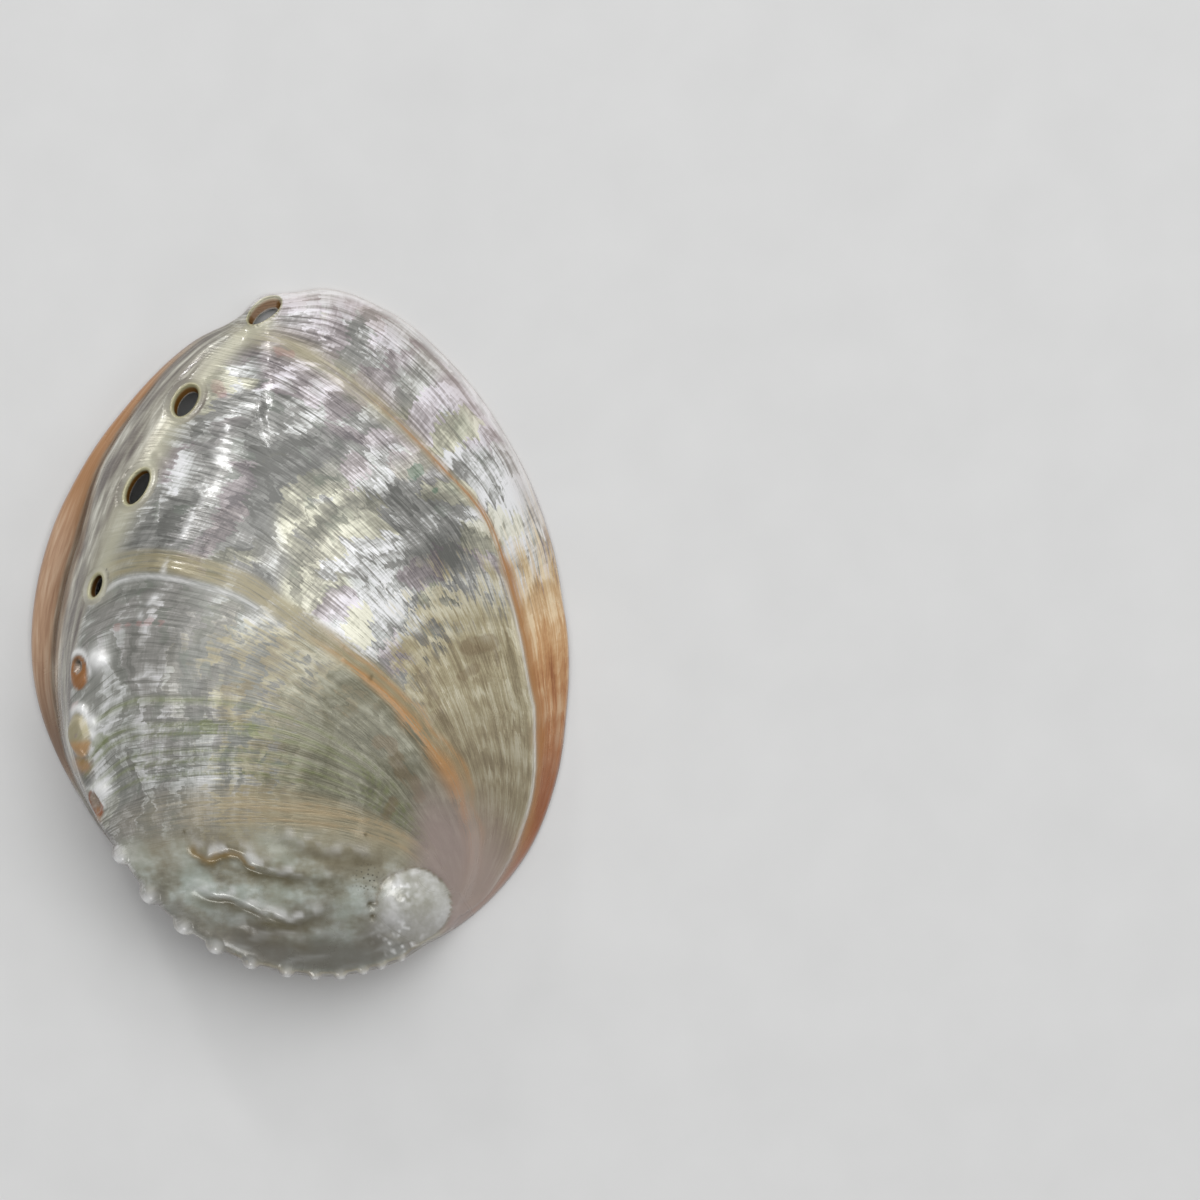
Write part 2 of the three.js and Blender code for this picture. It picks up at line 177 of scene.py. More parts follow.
# Bands of the surface, numbered from the top of the dome over the rim to the top of the bowl
OUTSIDE_END = 3.2
INSIDE_START = 5.9
SHOULDER_BAND = (0.95, 1.2)
BORE_BAND = 2.5
LAST_BAND = 8
OUTSIDE_EDGE = (2.9, 3.1)
INSIDE_EDGE = (5.6, 6.1)
DOME_EDGE = (0.97, 1.05)
BOSS_END = (1.04, 0.97)
# There is a wall where the shoulder is this high over the groove, and a flange where the groove
# lies this far in
WALL_DROP = (1.5, 6)
FLANGE_WIDTH = (0.5, 1.6)

# Sealed holes and the beads that follow them to the spire: pixel and radius
BEADS = [
    ((120, 855), 2.5), ((149, 894), 2.6), ((183, 926), 2.5), ((215, 948), 2.3), ((251, 964), 2.0),
    ((286, 972), 1.9), ((314, 976), 1.6), ((340, 975), 1.6), ((364, 972), 1.4), ((383, 967), 1.3),
    ((402, 959), 1.2),
]
BEAD_HEIGHT = 0.62
BEAD_STRETCH = 0.7
BEAD_RECESS = 0.5
BEADED_SPAN = (222, 230, 291, 297)
BEAD_FULLNESS = 0.8
# Painted highlight on each bead: its size and place in bead radii, and where it ends; then the width of the
# painted sheen over each bead
BEAD_HIGHLIGHT_SIZE = 0.36
BEAD_HIGHLIGHT_PLACE = (0.1, -0.15)
BEAD_HIGHLIGHT_END = 1.2
BEAD_SHEEN_WIDTH = 0.8

# Holes that the shell has sealed again: pixel, length, width and turn, how far the seal stands out, the
# depth of the opening left in it, its share of the length and its slip towards the top, the place, radius
# and height of the swelling, which gets a painted white highlight, and the mask of the seal's colour
SEALED_HOLES = [
    dict(pixel=(81, 672), size=(6.4, 4.3), turn=100, rise=0.6, depth=1.3, share=0.42, slip=0.36,
         swell_and_highlight=((100, 660), 2.1, 1.2), colour="ring"),
    dict(pixel=(83, 735), size=(8.2, 5.0), turn=95, rise=1.5, depth=0.0, share=0.01, slip=0.0,
         swell_and_highlight=((93, 722), 1.3, 0.4), colour="curl"),
    dict(pixel=(98, 804), size=(5.2, 3.1), turn=108, rise=0.2, depth=1.0, share=0.78, slip=0.1,
         swell_and_highlight=((104, 788), 1.9, 0.9), colour="red_ring"),
]
SEALED_LEAN = 32
SEALED_DEPTH = 6
# The crescent beside a sealed hole, raised a little and given a painted highlight: its turn, height, reach,
# width and facing
CRESCENT_TURN = 50
CRESCENT_HEIGHT = 0.3
CRESCENT_REACH = 1.3
CRESCENT_WIDTH = 0.22
CRESCENT_FACING = (0.1, 0.7)
# Edges of the seal and of its opening, in their own radii: colour, height, and the lower half
SEAL_EDGE = (1.15, 0.95)
SEAL_SLOPE = (1.25, 0.6)
OPENING_EDGE = (1.1, 0.9)
OPENING_SLOPE = (1.2, 0.4)
SEAL_LOW = (-0.1, -0.5)
SWELL_START = (1.0, 1.3)
# How strongly the swelling gets its painted highlight
SWELL_HIGHLIGHT = 1.3
PIN_HOLE = (79, 661)
PIN_DEPTH = 0.9
PIN_RADIUS = 0.6
SMALL_KNOB = (85, 708)
KNOB_HEIGHT = 0.8
KNOB_RADIUS = 1.2
# Width of the painted highlight on the small knob
KNOB_HIGHLIGHT = 0.7

# Growth lines traced over the photograph, from the row of holes to the spire
SPIRE_POLE = (415, 893)
MARGIN_LINE = [
    (265, 300), (320, 288), (360, 295), (388, 308), (413, 326), (456, 366), (489, 411), (517, 453),
    (536, 499), (552, 543), (560, 589), (568, 634), (569, 682), (567, 731), (557, 783), (539, 834),
    (508, 882), (466, 922),
]
LATEST_STOP = [
    (250, 335), (286, 344), (341, 376), (387, 413), (433, 459), (479, 510), (502, 565), (518, 624),
    (532, 693), (536, 716), (534, 785), (516, 849), (488, 895), (468, 912),
]
MIDDLE_LINE = [
    (138, 452), (156, 449), (176, 451), (250, 473), (318, 519), (378, 574), (424, 629), (452, 679),
    (470, 730), (484, 790), (484, 850), (470, 893),
]
OLDER_STOP = [
    (97, 588), (120, 572), (158, 567), (213, 578), (250, 592), (295, 624), (341, 656), (387, 693),
    (424, 735), (452, 776), (465, 813), (472, 840), (470, 870), (462, 895),
]
OLDER_LINE = [
    (78, 656), (88, 643), (104, 633), (135, 626), (204, 634), (272, 661), (341, 707), (387, 748), (419, 790),
    (440, 830), (452, 860), (456, 885),
]
GREEN_LINE = [
    (88, 757), (97, 745), (107, 735), (122, 727), (142, 723), (168, 721), (250, 721), (318, 739), (378, 776),
    (406, 808), (430, 840), (445, 870),
]
ORANGE_LINE = [
    (100, 838), (112, 828), (128, 821), (148, 817), (204, 808), (272, 808), (341, 815), (396, 831),
    (425, 850), (440, 868),
]
GROWTH_LINES = [MARGIN_LINE, LATEST_STOP, MIDDLE_LINE, OLDER_STOP, OLDER_LINE, GREEN_LINE, ORANGE_LINE]
LINE_EXTENSION = 12
MIDDLE_SHARE = 0.45
SPIRE_PIXEL = (415, 905)
SPIRE_RADIUS = 7.4
SPIRE_HEIGHT = 3.2
SPIRE_STRETCH = 1.06
SPIRE_LEFT = (95, 140)
# How full the boss is, and how softly its colour ends, on its right and on its left
SPIRE_FULLNESS = (0.95, 1.4)
SPIRE_SOFTNESS = (0.05, 0.6)

# Relief in millimetres
STOP_DROP = 0.5
STOP_LIP = 0.28
# The latest stop: its strength, where it grows, its step and how the step fades, and the lip
STOP_STRENGTH = (0.45, 1.0)
STOP_GROWING = (0.3, 0.6)
STOP_STEP = (0.5, -0.6)
STOP_LEFT_OVER = 0.5
STOP_RECOVERY = (-2, -8)
STOP_LIP_PLACE = (0.6, 0.7)
# Height, place and width of the older stop's ridge, and of the dip before it
OLDER_RIDGE = [(0.5, 0.6, 1.9), (-0.12, -1.6, 0.8)]
SUTURE_DEPTH = 0.35
SUTURE_SPAN = (-60, -40, 140, 158)
SUTURE_PLACE = (1.02, 0.06)
GROOVE_DEPTH = 0.3
GROOVE_PLACE = (2.04, 0.07)
WALL_WAVE_SPAN = (1.05, 1.2, 1.9, 2.0)
# Where relief fades out beside the spire and around the holes
RELIEF_BESIDE_SPIRE = (1.0, 1.3)
FOLDS_BESIDE_SPIRE = (1.0, 1.25)
RIM_CALM = (0, 0.8)
# Numbers that scatter the heights of the waves
LATTICE = (127.1, 311.7, 74.7, 43758.5453)
# Waves of the surface: height, length, width and seed
SWELLS = [(0.16, 15, 15, 1), (0.07, 6, 6, 2)]
RIPPLES = [(0.055, 1.5, 1 / 7, 3), (0.035, 0.75, 1 / 11, 4)]
CORDS = [(0.05, 1 / 62, 22, 7)]
WALL_WAVES = [(0.14, 1 / 7, 40, 8)]
FOLD_WAVES = [(0.3, 2, 2, 5)]
OLD_WAVES = [(0.2, 6.5, 3.2, 9), (0.1, 2.6, 1.5, 10)]
SPIRE_WAVES = [(0.05, 2.5, 2.5, 13)]
ROUGH_WAVES = [(1, 0.8, 0.8, 12)]
BOWL_SWELLS = [(0.14, 13, 13, 21)]
BOWL_RIPPLES = [(0.08, 4, 1 / 8, 22)]
# Strength and edge of each fold, where the surface drops towards the beads
FOLDS = [
    (1.0, [(180, 840), (194, 846), (200, 853), (210, 858), (222, 853), (240, 852), (248, 860), (256, 866),
           (275, 872), (300, 876), (330, 880), (352, 886)]),
    (1.0, [(186, 882), (197, 889), (212, 896), (231, 898), (247, 905), (265, 912), (289, 921), (310, 917),
           (332, 906), (350, 898)]),
    (0.35, [(228, 922), (250, 928), (272, 934), (299, 939), (315, 942), (335, 935), (352, 928)]),
    (0.45, [(268, 830), (290, 838), (310, 848), (330, 853), (360, 856), (393, 856)]),
]
FOLD_RISE = 0.85
FOLD_DROP = 0.75
FOLD_RISE_LENGTH = 3.4
FOLD_DROP_LENGTH = 3.0
FOLD_EDGE_WIDTH = 1.3
FOLD_ENDS = (0, 0.2, 0.62, 1)
# Where the oldest part and its foot start, and the waves or ripples that are left there
OLD_START = (4, 9)
FOOT_START = (-50, -60)
FOOT_WAVES = 0.3
RIPPLE_END = (3, 8)
OLD_RIPPLES = 0.15
PITS = [((372, 905), 0.9, 1.1), ((373, 917), 0.6, 0.7), ((372, 677), 0.35, 0.5), ((240, 325), 0.7, 0.4)]
GLASSY_BUMPS = [((157, 455), 0.7, 0.35), ((164, 462), 0.6, 0.25), ((156, 473), 0.6, 0.35)]
# Patches with a rough surface: pixel, radius and height of the roughness
ROUGH_PATCHES = [
    ((310, 672), 3.2, 0.18), ((404, 890), 3.4, 0.26), ((402, 938), 3.4, 0.3), ((366, 880), 2.4, 0.08),
]
# The low ring that the muscle left in the bowl: middle, radii and height
SCAR_MIDDLE = (-3, -2)
SCAR_RADII = (17, 20)
SCAR_HEIGHT = 0.35
SCAR_WIDTH = 0.06
SCAR_START = (-20, 12)
SCAR_TILT = 0.6
BOWL_STOP_DEPTH = 0.3
BOWL_STOP_WIDTH = 1.2

# Where the silver turns to beige: age in millimetres, and share of the way along the growth line
WARM_EDGE = [
    (0, 0.487), (8, 0.505), (25, 0.51), (40, 0.55), (49, 0.62), (54, 0.40), (60, 0.37), (75, 0.45),
    (90, 0.4),
]
WARM_SLOPES = (4.5, 2.2)

# Patches of painted highlight on the nacre, and of darker nacre with painted shade: pixel and radius in
# millimetres
HIGHLIGHT_PATCHES = [
    ((180, 478), 4), ((392, 605), 7), ((367, 628), 6), ((425, 565), 3), ((480, 565), 4), ((477, 457), 8),
    ((498, 482), 8), ((522, 535), 7), ((345, 540), 4), ((240, 384), 5), ((435, 392), 6), ((372, 328), 4),
    ((104, 640), 4), ((330, 298), 6), ((300, 305), 5), ((240, 612), 4), ((414, 484), 3), ((384, 506), 3),
    ((468, 592), 5), ((500, 600), 5), ((455, 625), 4), ((385, 590), 5), ((405, 617), 5), ((150, 735), 5),
    ((200, 785), 5), ((245, 782), 4),
]
DARK_AND_SHADE_PATCHES = [
    ((215, 520), 15), ((300, 442), 9), ((262, 425), 9), ((443, 523), 7), ((430, 556), 6), ((459, 467), 3),
    ((330, 490), 8), ((365, 560), 5), ((160, 650), 7), ((250, 690), 5), ((351, 366), 4), ((225, 500), 12),
    ((349, 326), 3), ((455, 545), 6), ((170, 560), 6), ((230, 440), 8), ((280, 400), 9), ((305, 365), 5),
    ((210, 660), 7), ((260, 750), 6),
]
SHADE_PATCH_WEIGHT = 0.8
CREAM_PATCHES = [
    ((328, 298), 7), ((312, 522), 6), ((345, 525), 5), ((405, 457), 5), ((465, 432), 4), ((337, 590), 6),
    ((312, 597), 5), ((250, 380), 3), ((515, 430), 4), ((220, 560), 6), ((280, 474), 4), ((420, 440), 4),
]
LILAC_PATCHES = [
    ((362, 325), 7), ((378, 412), 8), ((345, 395), 6), ((397, 345), 7), ((452, 385), 6), ((285, 362), 5),
    ((150, 605), 6), ((480, 420), 5), ((225, 398), 3), ((230, 615), 5), ((150, 670), 14), ((200, 690), 8),
]

# Ages of the green and orange lines of the older part, and their widths
GREEN_LINES = [(70.8, 0.4), (74.2, 0.5), (75.8, 0.4), (79.1, 0.35), (81, 0.4), (83.5, 0.3)]
ORANGE_LINES = [(85.2, 0.35), (86.5, 0.5), (88.6, 0.4), (90.2, 0.7), (92.6, 0.5)]
VALLEY_STAIN = [
    (188, 843), (194, 847), (200, 854), (210, 859), (222, 854), (240, 853), (248, 861), (254, 866),
]

# Small marks with an edge of their own: pixels and radii in millimetres
# Painted glints: white spots where the nacre catches the light
GLINT_MARKS = [
    ((150, 630), 1.2), ((152, 669), 1.3), ((160, 678), 1.1), ((125, 685), 1.1), ((204, 776), 1.2),
    ((234, 773), 1.0), ((248, 777), 1.1), ((261, 776), 1.0), ((156, 783), 1.4), ((191, 772), 0.8),
    ((219, 778), 0.8), ((172, 548), 1.0), ((180, 460), 1.5), ((180, 475), 1.4), ((179, 492), 1.3),
    ((232, 372), 1.8), ((252, 388), 2.0), ((240, 386), 1.8), ((268, 391), 1.4), ((245, 620), 1.4),
    ((256, 624), 1.3), ((118, 572), 1.6), ((130, 562), 1.4), ((487, 626), 1.2), ((484, 637), 1.2),
    ((104, 638), 1.6), ((108, 660), 1.4), ((98, 735), 1.0), ((99, 746), 1.0), ((90, 722), 1.0),
    ((299, 862), 1.4), ((310, 868), 1.2), ((258, 846), 1.0),
]
SLATE_MARKS = [
    ((172, 640), 1.5), ((180, 652), 1.9), ((187, 664), 1.5), ((183, 680), 1.2), ((179, 696), 0.9),
    ((223, 714), 1.5), ((225, 707), 1.2), ((248, 708), 1.3), ((235, 660), 1.5), ((139, 739), 1.5),
    ((158, 739), 1.5), ((174, 740), 1.2), ((269, 780), 1.3), ((278, 785), 1.1), ((459, 467), 2.2),
    ((137, 657), 2.4), ((205, 455), 2.2), ((312, 476), 2.4),
]
MARK_WEIGHT = 1.2
MARKS = {
    "orange_marks": [((80, 763), 1.6), ((87, 766), 1.1), ((99, 818), 0.8)],
    "green_marks": [
        ((208, 725), 1.6), ((216, 728), 1.1), ((102, 741), 1.9), ((254, 728), 1.4),
        ((384, 892), 2.2), ((396, 905), 1.2), ((80, 761), 1.2),
    ],
    "teal_marks": [((415, 473), 1.5), ((420, 469), 1.0), ((436, 490), 0.8)],
    "brown_marks": [
        ((402, 772), 1.4), ((414, 781), 1.6), ((420, 795), 1.5), ((392, 742), 1.2), ((467, 648), 2.0),
        ((480, 645), 2.2), ((492, 641), 1.6), ((462, 676), 1.4), ((476, 668), 1.4), ((388, 812), 1.4),
        ((394, 800), 1.2), ((337, 862), 2.6), ((349, 866), 2.0), ((380, 741), 1.8), ((398, 758), 2.0),
    ],
    "rose_marks": [
        ((216, 386), 1.5), ((222, 393), 1.1), ((280, 351), 1.6), ((292, 354), 1.1), ((119, 627), 0.9),
        ((130, 625), 0.9), ((141, 623), 0.9), ((152, 622), 0.9), ((163, 622), 0.8), ((77, 706), 1.0),
    ],
}
GLINT_LINES = [[(203, 500), (182, 540), (166, 572)], [(157, 597), (143, 616)]]
ROW_OF_HOLES = [(264, 318), (225, 352), (186, 404), (162, 445), (138, 490), (114, 540), (97, 590)]
PIN_DOTS = (369, 878)
PIN_DOTS_PER_METRE = 900
DARK_DOTS = [((372, 904), 0.9), ((374, 916), 0.6), ((186, 831), 0.45), ((366, 834), 0.45), ((372, 677), 0.5)]
BEAD_STAIN = (119, 865)
# Rough glints beside the boss: pixel, radius, where their noise starts to show, and its waves
SPIRE_GLINTS = [
    ((404, 890), 3.0, (0.0, 0.5), (1, 0.9, 0.9, 20)),
    ((402, 938), 3.6, (0.3, 0.7), (1, 0.9, 0.6, 21)),
]

# Masks that are products of fields: a field as it is, one that rises from a first value to a second,
# one within a span of four values, or one near a value, with the width of that nearness
BEFORE_STOP = ("stop", 0.25, -0.25)
FLANGE_BAND = ("band", 2.08, 2.2, 3.5, 3.9)
MASKS = {
    "outer_band": ["dome", BEFORE_STOP],
    "margin": ["dome", ("age", 4.5, 1.0), ("share", 0.52, 0.44)],
    "margin_line": ["dome", ("age", 1.3, 0.5), ("share", 0.5, 0.4)],
    "dusk": ["dome", ("share", 0.6, 0.85), ("older", 0.4, -0.6)],
    # Painted highlight along the raised edge of the latest stop
    "stop_edge_highlight": ["dome", ("stop", "near", 0.4, 0.32), ("stop_share", 0.47, 0.58, 0.8, 1.0)],
    "rust_top": [("share", 0.62, 0.5)],
    "rust_low": ["dome", BEFORE_STOP, ("stop_share", 0.58, 0.82)],
    "older_band": ["dome", ("older", -4.4, -2.4, 0.4, 1.8)],
    # Painted highlight along the ridge of the older stop
    "older_edge_highlight": ["dome", ("older", "near", 2.0, 0.45), ("older_share", 0.42, 0.34)],
    "old": ["dome", ("older", 0.4, 1.2)],
    "olive_field": ["dome", ("older", 0.4, 1.2), ("share", 0.32, 0.7)],
    "orange_band": ["dome", ("to_orange", -6, -1), ("orange", 7, 2.5), ("share", -0.1, 0.5, 0.88, 1.0)],
    "pale": ["dome", ("orange", 1.5, 8)],
    "golden": ["dome", ("orange", 2, 6, 7, 14)],
    "blush": ["dome", ("x", 20, 27), ("to_pole", 28, 13), ("spire", 1.0, 1.05)],
    "foot_pink": ["dome", BEFORE_STOP, ("y", -38, -52)],
    "suture": ["outside", ("spire", "near", 1.02, 0.03), ("spire_angle", -80, -20)],
    "wall": ["outside", "walled", ("band", 0.99, 1.1)],
    "flange": ["flanged", FLANGE_BAND, ("angle", 217, 209)],
    "flange_red": ["flanged", FLANGE_BAND, ("angle", 162, 143)],
    "flange_low": ["flanged", FLANGE_BAND, ("angle", 217, 209), ("angle", 180, 206)],
    "bore": [("rim", 1.0, 1.2)],
    "lining": ["inside"],
    "shelf": [("band", 2.95, 3.1, 5.9, 6.1)],
}

# Waves that make the edges of the colours uneven: height, length, width and seed
STOP_WAVES = [(0.5, 1 / 34, 1, 17)]
OLDER_WAVES = [(0.35, 1 / 26, 1, 18)]
STAIN_WAVES = [(0.4, 1.3, 1.3, 16)]
FOLD_SHADE_WAVES = [(0.5, 2.2, 1.4, 15)]
FOLD_GLINTS = [(1, 1.9, 1.3, 14)]
GLINT_BREAKS = [(1, 1.7, 1.7, 22)]
FOOT_SHADE_WAVES = [(3, 5, 5, 19)]
FOOT_STREAKS = [(1, 1, 1.1, 23)]
# Cords across the growth lines, from the row of holes to the spire
CORD_COUNT = 120

# Masks that need more than a product: places and widths in millimetres, edges as their fields count
WARM_CHANGE = (0, 3)
# Painted highlight over the outer band, weaker near the row of holes: its strengths and the share where it
# changes
BAND_LIGHT = (0.2, 0.9)
BAND_LIGHT_EDGE = (0.1, 0.25)
HUED_SHARES = (0.3, 0.85)
HUED_OLDER = (1, -1)
HUED_START = (-0.06, 0.04)
STOP_BAND_BEFORE = 0.2
STOP_BAND_WIDTHS = (0.8, 2.2)
STOP_BAND_TOP = (0.34, 0.2)
STOP_LINE_BEFORE = (0.2, 0.9)
STOP_LINE_WIDTHS = (0.65, 1.0)
STOP_LINE_LOW = (0.34, 0.48)
STOP_LINE_START = (0.13, 0.33)
OLDER_LINE_PLACE = 0.3
OLDER_LINE_WIDTHS = (0.6, 1.6)
OLDER_LINE_LOW = (0.45, 0.8)
OLDER_LINE_SPAN = (0.4, 0.56, 0.88, 1.0)
# Strength, distance before the older stop and width of its second line
SECOND_LINE = (0.6, 2.4, 0.5)
STAIN_PLACE = 0.1
STAIN_WIDTHS = (0.95, 0.5)
STAIN_START = (0, 0.15)
# Place and width of the shadow behind each fold's edge, and of the light before it
FOLD_SHADOW = (1.0, 1.3)
FOLD_LIGHT = (-1.3, 1.2)
FOLD_GLINT_EDGE = (-0.2, 0.6)
GREEN_END = (2.5, 0)
ORANGE_START = (0, 0.6)
# Where the painted shade of the lower boss starts and is full, in millimetres of y
BOSS_SHADE_START = (-52, -59)
# Where the painted shade of the foot starts and is full, in millimetres of y
FOOT_SHADE_EDGE = (-50, -64)
# How fast the foot's streaks turn with the angle and with the reach, and where they show
STREAK_TURN = (4, 3)
STREAK_EDGE = (0.0, 0.7)
PIN_DOTS_RADIUS = 2.6
# The pale band along the row of holes, partly its own cream and partly a painted shine where the shoulder
# catches the light: its width and where it ends
ROW_WIDTH = 2.3
ROW_END = (1.5, 1.3)
GLINT_WIDTH = 0.6
GLINT_EDGE = (-0.4, 0.2)
# Painted shade in the groove over its own brown: its dark bottom, as strength, place and width, and its
# softer shade, as strength and span
GROOVE_BOTTOM = (0.6, 2.03, 0.1)
GROOVE_SHADE = (0.4, 1.9, 2.0, 2.05, 2.6)
BEAD_STAIN_RADIUS = 0.8
# Radius of the painted shade in the pin hole
PIN_HOLE_SHADE_RADIUS = 0.55

# Screen colours from dark to light, with the lightness where each is reached
SILVER = [
    (0.20, (98, 98, 94)), (0.36, (125, 125, 121)), (0.48, (145, 144, 140)), (0.58, (192, 193, 190)),
    (0.70, (232, 232, 233)),
]
CREAM = [
    (0.20, (106, 106, 94)), (0.36, (142, 140, 126)), (0.48, (168, 166, 148)), (0.58, (202, 200, 178)),
    (0.70, (230, 228, 206)),
]
LILAC = [
    (0.20, (98, 92, 94)), (0.36, (132, 124, 125)), (0.48, (156, 148, 149)), (0.58, (190, 182, 185)),
    (0.70, (228, 222, 228)),
]
BEIGE = [(0.30, (124, 112, 86)), (0.42, (146, 134, 106)), (0.52, (168, 158, 128)), (0.68, (202, 196, 172))]
OLIVE = [(0.30, (80, 76, 52)), (0.42, (103, 99, 76)), (0.52, (125, 121, 99)), (0.68, (166, 163, 142))]
RUST = [(0.30, (150, 98, 58)), (0.44, (186, 138, 92)), (0.56, (202, 160, 114)), (0.72, (228, 202, 164))]
GOLD = [(0.30, (156, 132, 92)), (0.44, (180, 160, 122)), (0.56, (202, 186, 150)), (0.72, (228, 216, 188))]
WALL = [
    (0.28, (108, 101, 95)), (0.41, (132, 126, 118)), (0.52, (149, 145, 134)), (0.62, (167, 163, 151)),
    (0.78, (208, 206, 194)),
]
FLANGE = [(0.30, (158, 122, 96)), (0.50, (186, 152, 124)), (0.70, (210, 184, 158))]
POSTERIOR = [
    (0.30, (100, 95, 78)), (0.42, (136, 133, 116)), (0.52, (160, 161, 148)), (0.62, (190, 196, 188)),
    (0.72, (232, 236, 232)),
]
PEARL = [(0.30, (150, 148, 132)), (0.42, (176, 175, 164)), (0.54, (200, 200, 194)), (0.66, (232, 232, 230))]
LINING = [(0.30, (150, 158, 156)), (0.42, (176, 178, 176)), (0.52, (202, 196, 194)), (0.66, (226, 222, 210))]
TINTS = {
    "white": (244, 244, 243), "green": (112, 130, 112), "grass": (118, 126, 78),
    "orange": (180, 134, 84), "rust_line": (166, 114, 62), "red_brown": (146, 88, 56), "brown": (96, 64, 22),
    "umber": (116, 98, 72), "beige": (182, 174, 142), "sand": (172, 160, 132), "band": (148, 139, 110),
    "blush": (168, 150, 144), "pink": (186, 134, 122), "rose": (170, 120, 116), "margin": (176, 162, 156),
    "dusk": (124, 112, 92), "milk": (160, 170, 158), "collar": (170, 165, 120), "row": (184, 181, 160),
    "pit": (158, 140, 124), "ring": (146, 94, 42), "curl": (164, 154, 122), "lilac": (140, 136, 132),
    # The foot tint is painted shade of the foot
    "foot": (104, 100, 92), "foot_light": (160, 160, 156), "shelf": (206, 194, 188), "dark": (70, 66, 56),
    # The dark olive valley tint is the colour of the painted shadow behind the folds, and of the dark pits
    "old": (140, 142, 130), "stain": (152, 118, 42), "fold_shade_and_pits": (86, 76, 44), "tan": (178, 148, 106),
    "flange_low": (122, 98, 80), "teal": (78, 112, 92),
}

# Tints laid over the colour in this order: mask, strength and tint
AGE_TINTS = [("old", 0.25, "old"), ("dusk", 0.5, "dusk")]
BAND_TINTS = [("rust_low", 0.95, "red_brown"), ("margin", 0.4, "margin")]
STOP_TINTS = [
    ("foot_pink", 0.75, "pink"), ("stop_band", 0.6, "beige"), ("stop_line", 0.75, "rust_line"),
    ("older_band", 0.75, "band"), ("glint_lines", 0.5, "white"), ("green_lines", 0.5, "grass"),
    ("orange_band", 0.6, "sand"),
]
LINE_TINTS = [("older_line", 0.95, "orange"), ("orange_lines", 0.36, "tan")]
MARK_TINTS = [
    ("green_marks", 0.5, "grass"), ("teal_marks", 0.6, "teal"), ("brown_marks", 0.5, "umber"),
    ("rose_marks", 0.3, "rose"),
]
# Over the folds: the golden colour, painted shade on the foot with its lighter streaks, painted shadow
# behind the folds' edges and painted light before them, the stain and the blush
FOLD_TINTS = [
    ("golden", 0.3, "sand"), ("foot", 0.85, "foot"), ("foot_streaks", 0.55, "foot_light"),
    ("fold_shade_and_pits", 0.7, "fold_shade_and_pits"), ("fold_light", 0.55, "white"), ("stain", 0.6, "stain"),
    ("blush", 0.8, "blush"),
]
# On the spire: painted shade on the lower boss, the suture, painted glints, the white margin line and the
# dark pits
SPIRE_TINTS = [
    ("boss_low_shade", 0.5, "lilac"), ("suture", 0.5, "umber"), ("spire_glints", 0.9, "white"),
    ("margin_line", 0.5, "white"), ("dots", 0.9, "fold_shade_and_pits"),
]
# Painted highlights along the raised edges of the latest and the older stop
EDGE_HIGHLIGHTS = [("older_edge_highlight", 0.4, "white"), ("stop_edge_highlight", 0.5, "white")]
# Over the wall: the red and low colours of the flange, and the groove's brown with painted shade
WALL_TINTS = [("flange_red", 0.6, "rust_line"), ("flange_low", 0.9, "flange_low"), ("groove", 0.8, "brown")]
# Over the holes and beads: painted sheen and highlights on the beads and swellings, painted shade in the pin
# hole, and the real colours of the seals, marks, collars and bores
HOLE_TINTS = [
    ("bead", 0.4, "white"), ("bead_tip", 0.9, "white"), ("swell_and_highlight", 0.8, "white"), ("ring", 0.9, "ring"),
    ("curl", 0.8, "curl"), ("curl_low", 0.7, "orange"), ("red_ring", 0.9, "red_brown"), ("pit", 0.85, "pit"),
    ("pit_low", 0.8, "ring"), ("bead_stain", 0.8, "rust_line"), ("orange_marks", 0.6, "orange"),
    ("pin_hole_shade", 1.0, "dark"), ("collar", 0.6, "collar"), ("bore", 1.0, "brown"),
]

# Patterns that follow the growth lines: how many to a millimetre of age and where they start, how many
# to a cord and where they start, detail and roughness. The ragged ones are broken up by the others.
SLOW_WAVE = (0.05, 0, 0.06, 0, 2, 0.5)
RAGGED_WAVE = (0.5, 0, 0.05, 0, 3, 0.5)
EVEN_PATTERNS = {
    "streaks": (2.3, 9, 0.09, 0, 3, 0.55), "threads": (0.3, 50, 1.9, 0, 3, 0.6),
    "bands": (0.55, 30, 0.03, 0, 2, 0.5),
}
RAGGED_PATTERNS = {
    "wide": (0.07, 0, 0.09, 0, 1, 0.5), "lines": (1.7, 70, 0.05, 0, 2, 0.6),
    "cords": (0.03, 0, 0.24, 3, 2, 0.5),
}
# Strips along the growth lines, how far each and the wave shift the cords, and how far the lines bend
STRIP_COUNT = 2.6
STRIP_BEND = 5
STRIP_SHIFT = 1.5
WAVE_SHIFT = 5
LINE_BEND = 8
# Blocks of nacre: how many to a millimetre of age and where they start, and how many to a cord
BLOCKS = (0.13, 0, 0.2)
SMALL_BLOCKS = (0.42, 7, 0.46)
BLOCK_RANDOMNESS = 0.85
# How much each pattern counts in the light of the silver and of the plaid, and in ragged edges
SILVER_WEIGHTS = {"wide": 0.24, "block": 0.22, "small": 0.2, "streaks": 0.36, "threads": 0.2, "cords": 0.5}
PLAID_WEIGHTS = {"bands": 0.42, "cords": 0.34, "streaks": 0.3, "small": 0.12, "threads": 0.08}
RAGGED_EDGE = {"streaks": 1.4, "block": 0.5, "small": 0.6}
EVEN_EDGE = {"streaks": 1.4}
MARK_EDGE = {"small": 0.4, "streaks": 0.9}
BEIGE_WEIGHTS = {"streaks": 0.24, "cords": 0.5}
RUST_WEIGHTS = {"streaks": 0.42, "cords": 0.6}
GOLD_WEIGHTS = {"streaks": 0.3, "cords": 0.5}
